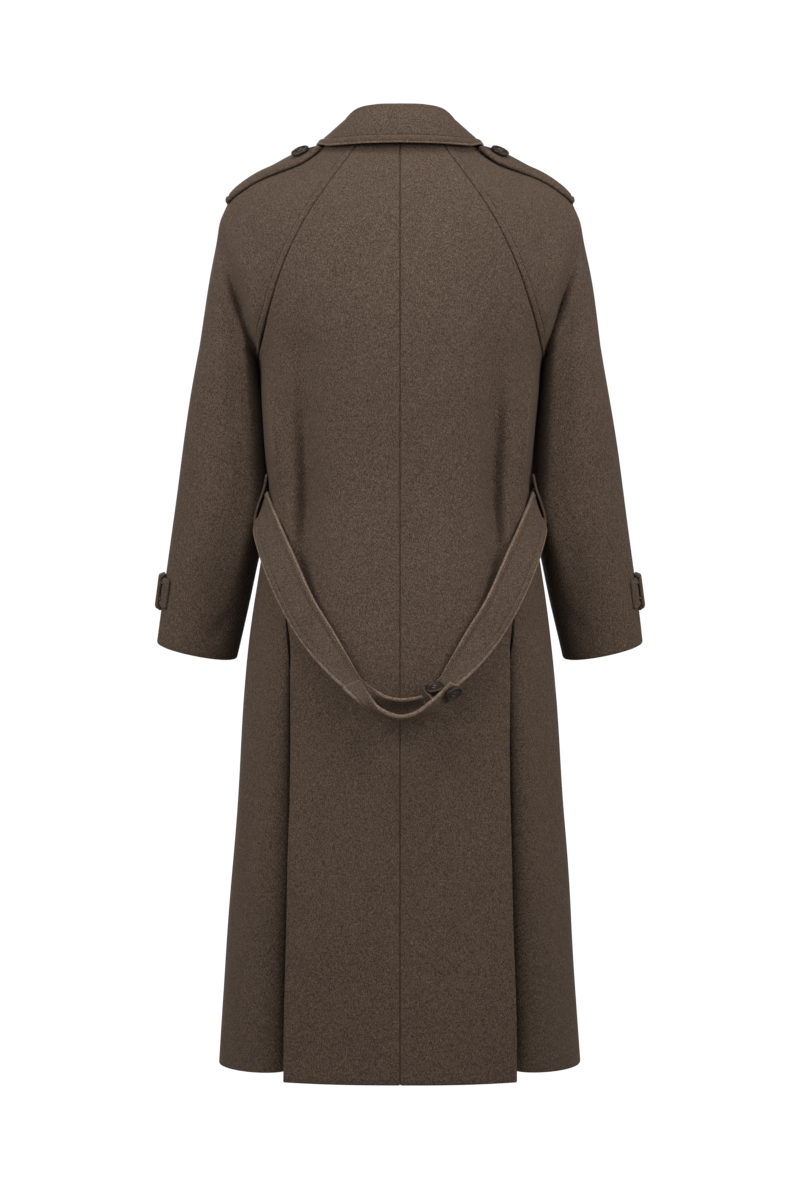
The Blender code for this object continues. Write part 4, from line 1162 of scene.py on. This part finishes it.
def sew_button(name, place, axis):
    """A button with its thread, its back at the given place and its face along the axis."""
    turn = Vector(axis).to_track_quat("Z", "Y")
    for mesh, part in ((button_mesh, name + "_horn"), (sewing_mesh, name + "_thread")):
        piece = placed(part, mesh)
        piece.location = Vector(place)
        piece.rotation_mode = "QUATERNION"
        piece.rotation_quaternion = turn
        bpy.context.view_layer.update()
        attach(piece, "root")
        if mesh is button_mesh:
            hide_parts(name)


tip, end = EPAULETTE.position[0], EPAULETTE.position[-1]
pointed = np.linspace(tip, EPAULETTE_POINT_END, EPAULETTE_POINT_ROWS)[:-1]
share = np.concatenate([pointed, np.linspace(EPAULETTE_POINT_END, end, EPAULETTE_ROWS)])
spread = 2 * strap_shares(EPAULETTE_WIDTH)[None, :] - 1
behind = EPAULETTE.at("behind", share)[:, None] + EPAULETTE.at("half_width", share)[:, None] * spread
laid = on_ridge(share, behind)
away = facing_out(laid, 1)
away *= np.sign(away[..., 2:3])
laid = laid + away * (CLOTH / 2 + EPAULETTE_THICK / 2 + EPAULETTE.at("lift", share)[:, None, None])
row = int(np.argmin(np.abs(share - EPAULETTE_BUTTON_SHARE)))
middle = laid.shape[1] // 2
rise = EPAULETTE_THICK / 2 + LAY_GAP + BUTTON_FOOT * math.sin(EPAULETTE_BUTTON_LEAN)
button_place = laid[row, middle] + away[row, middle] * rise
button_axis = away[row, middle] + np.array([0.0, math.tan(EPAULETTE_BUTTON_LEAN), 0.0])
for hand, flip in (("left", 1), ("right", -1)):
    points = mirrored(laid, flip)
    side = np.sign(facing_out(points, 1)[row, middle, 2])
    piece = strap("epaulette_" + hand, points, side, EPAULETTE_THICK, wool)
    sew_button("epaulette_button_" + hand, mirrored(button_place, flip), mirrored(button_axis, flip))

# Cuff straps and their loops
# Each strap lies round the outer side of the cuff and runs through a narrow loop of melton
# sewn to the back of the sleeve.
STRAP_THICK = 0.0040
CUFF_TOP = 0.783
CUFF_BOTTOM = 0.872
CUFF_START = 0.30
CUFF_END = 0.83
CUFF_LOOP_TOP = 0.769
CUFF_LOOP_BOTTOM = 0.886
CUFF_LOOP_FROM = 0.930
CUFF_LOOP_TO = 0.995
CUFF_LOOP_RAMP = 0.06
CUFF_LOOP_THICK = 0.0044
CUFF_STRAP_WIDTH = 0.038
CUFF_FRONT_ROWS = 46
CUFF_BACK_ROWS = 15
LOOP_ROWS = 41
LOOP_COLUMNS = 9


def cuff_band(shares):
    """Points round the left sleeve: from the front half over the ridge to the back half."""
    front = arm_rows(np.linspace(CUFF_START, 1.0, CUFF_FRONT_ROWS), shares, -1)
    back = arm_rows(np.linspace(1.0, CUFF_END, CUFF_BACK_ROWS), shares, 1)
    return np.concatenate([front, back[:, 1:]], axis=1)


def loop(name, points, side, thickness):
    """A narrow folded carrier of melton, its ends sewn down."""
    out = facing_out(points, side)
    piece = wall(name + "_cloth", points, out, thickness / 2, thickness / 2, wool, ALL_EDGES)
    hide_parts(name)


shares = CUFF_TOP + (CUFF_BOTTOM - CUFF_TOP) * strap_shares(CUFF_STRAP_WIDTH)
band = cuff_band(shares).transpose(1, 0, 2)
away = facing_out(band, 1)
away *= np.sign(np.sum(away * (band - band.mean(axis=(0, 1))), axis=-1).mean())
laid = band + away * (CLOTH / 2 + LAY_GAP + STRAP_THICK / 2)
side = 1 if np.sum(facing_out(laid, 1) * away, axis=-1).mean() > 0 else -1
height = np.linspace(0.0, 1.0, LOOP_ROWS)
shares = CUFF_LOOP_TOP + (CUFF_LOOP_BOTTOM - CUFF_LOOP_TOP) * height
band = arm_rows(np.linspace(CUFF_LOOP_FROM, CUFF_LOOP_TO, LOOP_COLUMNS), shares, 1)
loop_out = facing_out(band, 1)
loop_side = np.sign(loop_out[0, 0, 0])
arch = smooth_step(0.0, CUFF_LOOP_RAMP, height) * (1 - smooth_step(1 - CUFF_LOOP_RAMP, 1.0, height))
stand = CLOTH / 2 + LAY_GAP + CUFF_LOOP_THICK / 2 + (STRAP_THICK + LAY_GAP) * arch
carrier = band + loop_out * loop_side * stand[:, None, None]
for hand, flip in (("left", 1), ("right", -1)):
    piece = strap("cuff_strap_" + hand, mirrored(laid, flip), side * flip, STRAP_THICK, wool)
    points = mirrored(carrier, flip)
    loop("cuff_loop_" + hand, points, loop_side * flip, CUFF_LOOP_THICK)

# Side belt loops
# Narrow carriers of melton at the waist, just behind the side seams, that hold up the belt.
BELT_LOOP = Table(
    ("z", "stand"),
    (-0.508, 0.0038),
    (-0.497, 0.0100),
    (-0.478, 0.0175),
    (-0.455, 0.0150),
    (-0.436, 0.0085),
    (-0.420, 0.0040),
)
LOOP_THICK = 0.0030
BELT_LOOP_FROM_Y = 0.018
BELT_LOOP_TO_Y = 0.028
BELT_LOOP_ROWS = 49
height = np.linspace(BELT_LOOP.position[0], BELT_LOOP.position[-1], BELT_LOOP_ROWS)[:, None]
depth = np.linspace(BELT_LOOP_FROM_Y, BELT_LOOP_TO_Y, LOOP_COLUMNS)[None, :]
power = BODY.at("squareness", height)
wide = BODY.at("half_width", height) * (1 - (depth / BODY.at("back_depth", height)) ** power) ** (1 / power)
carrier = np.stack(np.broadcast_arrays(wide + BELT_LOOP.at("stand", height), depth, height), axis=-1)
side = np.sign(facing_out(carrier, 1)[BELT_LOOP_ROWS // 2, LOOP_COLUMNS // 2, 0])
for hand, flip in (("left", 1), ("right", -1)):
    loop("belt_loop_" + hand, mirrored(carrier, flip), side * flip, LOOP_THICK)

# Belt, its tab and their buttons
# A strap of two layers of melton, caught in the side seams, that hangs slack behind. The left
# half ends under a tab that joins it to the right half, where both are buttoned.
BELT_COLUMNS = ("share", "upper_x", "upper_y", "upper_z", "lower_x", "lower_y", "lower_z")
BELT_SIDE = [
    (0.00, 0.1668, 0.0040, -0.4370, 0.1712, 0.0000, -0.4730),
    (0.10, 0.1612, 0.0520, -0.4516, 0.1775, 0.0420, -0.4800),
    (0.20, 0.1469, 0.0830, -0.4844, 0.1778, 0.0640, -0.4957),
    (0.30, 0.1307, 0.1080, -0.5198, 0.1645, 0.1000, -0.5355),
    (0.43, 0.1050, 0.1375, -0.5750, 0.1380, 0.1320, -0.5915),
    (0.55, 0.0795, 0.1525, -0.6163, 0.1111, 0.1530, -0.6326),
    (0.64, 0.0623, 0.1600, -0.6463, 0.0872, 0.1710, -0.6592),
]
BELT_LEFT_END = [
    (0.72, 0.0487, 0.1630, -0.6695, 0.0651, 0.1839, -0.6790),
    (0.79, 0.0322, 0.1700, -0.6825, 0.0440, 0.1820, -0.6922),
    (0.85, 0.0154, 0.1880, -0.6907, 0.0226, 0.1720, -0.7027),
    (0.91, -0.0012, 0.1900, -0.6938, 0.0000, 0.1700, -0.7069),
    (0.97, -0.0190, 0.1890, -0.6919, -0.0215, 0.1700, -0.7015),
    (1.00, -0.0250, 0.1885, -0.6902, -0.0275, 0.1690, -0.6980),
]
BELT_RIGHT_END = [
    (0.72, 0.0479, 0.1633, -0.6707, 0.0666, 0.1825, -0.6773),
    (0.79, 0.0335, 0.1666, -0.6790, 0.0523, 0.1869, -0.6903),
    (0.83, 0.0299, 0.1671, -0.6820, 0.0428, 0.1886, -0.6962),
]
BELT_TAB = [
    (0.00, 0.0487, 0.1728, -0.6725, 0.0660, 0.1935, -0.6795),
    (0.07, 0.0408, 0.1905, -0.6845, 0.0558, 0.2015, -0.6885),
    (0.15, 0.0320, 0.2060, -0.6955, 0.0455, 0.2025, -0.6975),
    (0.29, 0.0153, 0.2185, -0.7080, 0.0238, 0.1975, -0.7098),
    (0.44, -0.0024, 0.2225, -0.7123, 0.0000, 0.1960, -0.7160),
    (0.58, -0.0189, 0.2190, -0.7080, -0.0237, 0.1965, -0.7110),
    (0.73, -0.0361, 0.2130, -0.6956, -0.0470, 0.1925, -0.7025),
    (0.84, -0.0474, 0.2060, -0.6860, -0.0600, 0.1870, -0.6920),
    (1.00, -0.0596, 0.2110, -0.6739, -0.0720, 0.1880, -0.6800),
]


def ribbon(rows, stations, width):
    """Middle surface of a strap between its upper and lower edges."""
    table = Table(BELT_COLUMNS, *rows)
    share = np.linspace(rows[0][0], rows[-1][0], stations)
    upper, lower = table.points("upper_", share), table.points("lower_", share)
    return upper[:, None] + (lower - upper)[:, None] * strap_shares(width)[None, :, None]


BELT_WIDTH = 0.037
BELT_TAB_WIDTH = 0.027
BELT_LEFT_ROWS = 150
BELT_RIGHT_ROWS = 125
BELT_TAB_ROWS = 90
BELT_NEAR_END = -8
belts = {
    "belt_left": ribbon(BELT_SIDE + BELT_LEFT_END, BELT_LEFT_ROWS, BELT_WIDTH),
    "belt_right": mirrored(ribbon(BELT_SIDE + BELT_RIGHT_END, BELT_RIGHT_ROWS, BELT_WIDTH)),
    "belt_tab": ribbon(BELT_TAB, BELT_TAB_ROWS, BELT_TAB_WIDTH),
}
BELT_BUTTONS = named(
    ("name", "on", "share", "lean", "stalk"),
    ("belt_button_strap", "belt_right", 0.955, (-0.16, -0.22, 0.15), 0.0),
    ("belt_button_tab", "belt_tab", 0.93, (0.0, 0.0, 0.0), 0.0014),
)
for name, points in belts.items():
    side = np.sign(facing_out(points, 1)[BELT_NEAR_END, points.shape[1] // 2, 1])
    # The belts' and tab's rims take the painted edge highlight
    piece = strap(name, points, side, STRAP_THICK, painted_edge_highlight)
for button in BELT_BUTTONS:
    points = belts[button["on"]]
    row = round(button["share"] * (len(points) - 1))
    middle = points.shape[1] // 2
    out = facing_out(points, 1)[row, middle]
    out = out * np.sign(out[1])
    axis = unit(out + np.array(button["lean"]))
    rise = STRAP_THICK / 2 + LAY_GAP + BUTTON_FOOT * np.linalg.norm(np.cross(out, axis))
    sew_button(button["name"], points[row, middle] + out * (rise + button["stalk"]), axis)

# Front buttons
# Five horn buttons sewn to the left front and brought through the right one at the centre line.
FRONT_BUTTON_HEIGHTS = (-0.135, -0.280, -0.425, -0.570, -0.715)
AHEAD_Y = -1.0
front_cloth = bpy.data.objects["front_right_cloth"]
for number, height in enumerate(FRONT_BUTTON_HEIGHTS, 1):
    found, place, axis, face = front_cloth.ray_cast((0.0, AHEAD_Y, height), (0.0, 1.0, 0.0))
    sew_button(f"front_button_{number}", place + axis * LAY_GAP, axis)

# Studio
# A pale floor well below the hem, a white surround and broad softboxes above, at the sides and in front.
FLOOR_Z = -1.50
FLOOR_CORNERS = ((-3.0, -0.8), (3.0, -0.8), (3.0, 4.0), (-3.0, 4.0))
floor_mesh = bpy.data.meshes.new("studio_floor")
floor_mesh.from_pydata([(x, y, FLOOR_Z) for x, y in FLOOR_CORNERS], [], [(0, 1, 2, 3)])
floor_mesh.materials.append(plain_material("pale_floor", "#d2cfcb", 0.9))
placed("studio_floor", floor_mesh)

WALL_TOP = math.sin(math.radians(12.5))
WALL_FADE = math.sin(math.radians(24.0))
CEILING_GREY = 0.22
GROUND_GREY = 0.12
WALL_LIGHT = 1.05
world = bpy.data.worlds.new("white_wall_all_round")
world.use_nodes = True
tree = world.node_tree
look = node(tree, "ShaderNodeTexCoord", "Generated")
height = node(tree, "ShaderNodeSeparateXYZ", "Z", {"Vector": look})
level = node(tree, "ShaderNodeMapRange", "Result", {"Value": height, "From Min": -1.0, "From Max": 1.0})
greys = [(-WALL_FADE, GROUND_GREY), (-WALL_TOP, 1.0), (WALL_TOP, 1.0), (WALL_FADE, CEILING_GREY)]
stops = [((sine + 1) / 2, (grey, grey, grey, 1.0)) for sine, grey in greys]
colour = node(tree, "ShaderNodeValToRGB", "Color", {"Fac": level}, stops)
set_inputs(tree, tree.nodes["Background"], {"Color": colour, "Strength": WALL_LIGHT})
bpy.context.scene.world = world

SOFTBOXES = named(
    ("name", "place", "aim", "size", "watts"),
    ("softbox_top", (0.0, 0.8, 1.2), (0.0, 0.0, -0.1), 0.8, 24),
    ("softbox_left", (1.35, 1.05, 0.30), (0.0, 0.0, -0.1), 0.8, 31),
    ("softbox_right", (-1.35, 1.05, 0.30), (0.0, 0.0, -0.1), 0.8, 31),
    ("softbox_front", (0.6, -2.4, 0.60), (0.0, 0.0, -0.5), 1.2, 45),
)
for box in SOFTBOXES:
    light = bpy.data.lights.new(box["name"], "AREA")
    light.shape = "SQUARE"
    light.size = box["size"]
    light.energy = box["watts"]
    lamp = placed(box["name"], light)
    lamp.location = box["place"]
    lamp.visible_camera = False
    lamp.rotation_mode = "QUATERNION"
    lamp.rotation_quaternion = (Vector(box["aim"]) - Vector(box["place"])).to_track_quat("-Z", "Y")

# Camera
# Behind the coat, level with its middle, as far off as the photo's.
VIEW_ANGLE = math.radians(22.33)
CAMERA_PLACE = (0.0, 3.8, -0.575)
lens = bpy.data.cameras.new("photo_view")
lens.sensor_fit = "VERTICAL"
lens.sensor_height = 36.0
lens.lens = lens.sensor_height / 2 / math.tan(VIEW_ANGLE / 2)
camera = placed("photo_view", lens)
camera.location = CAMERA_PLACE
camera.rotation_euler = (QUARTER, 0.0, math.pi)
bpy.context.scene.camera = camera
bpy.context.scene.view_settings.view_transform = "Standard"
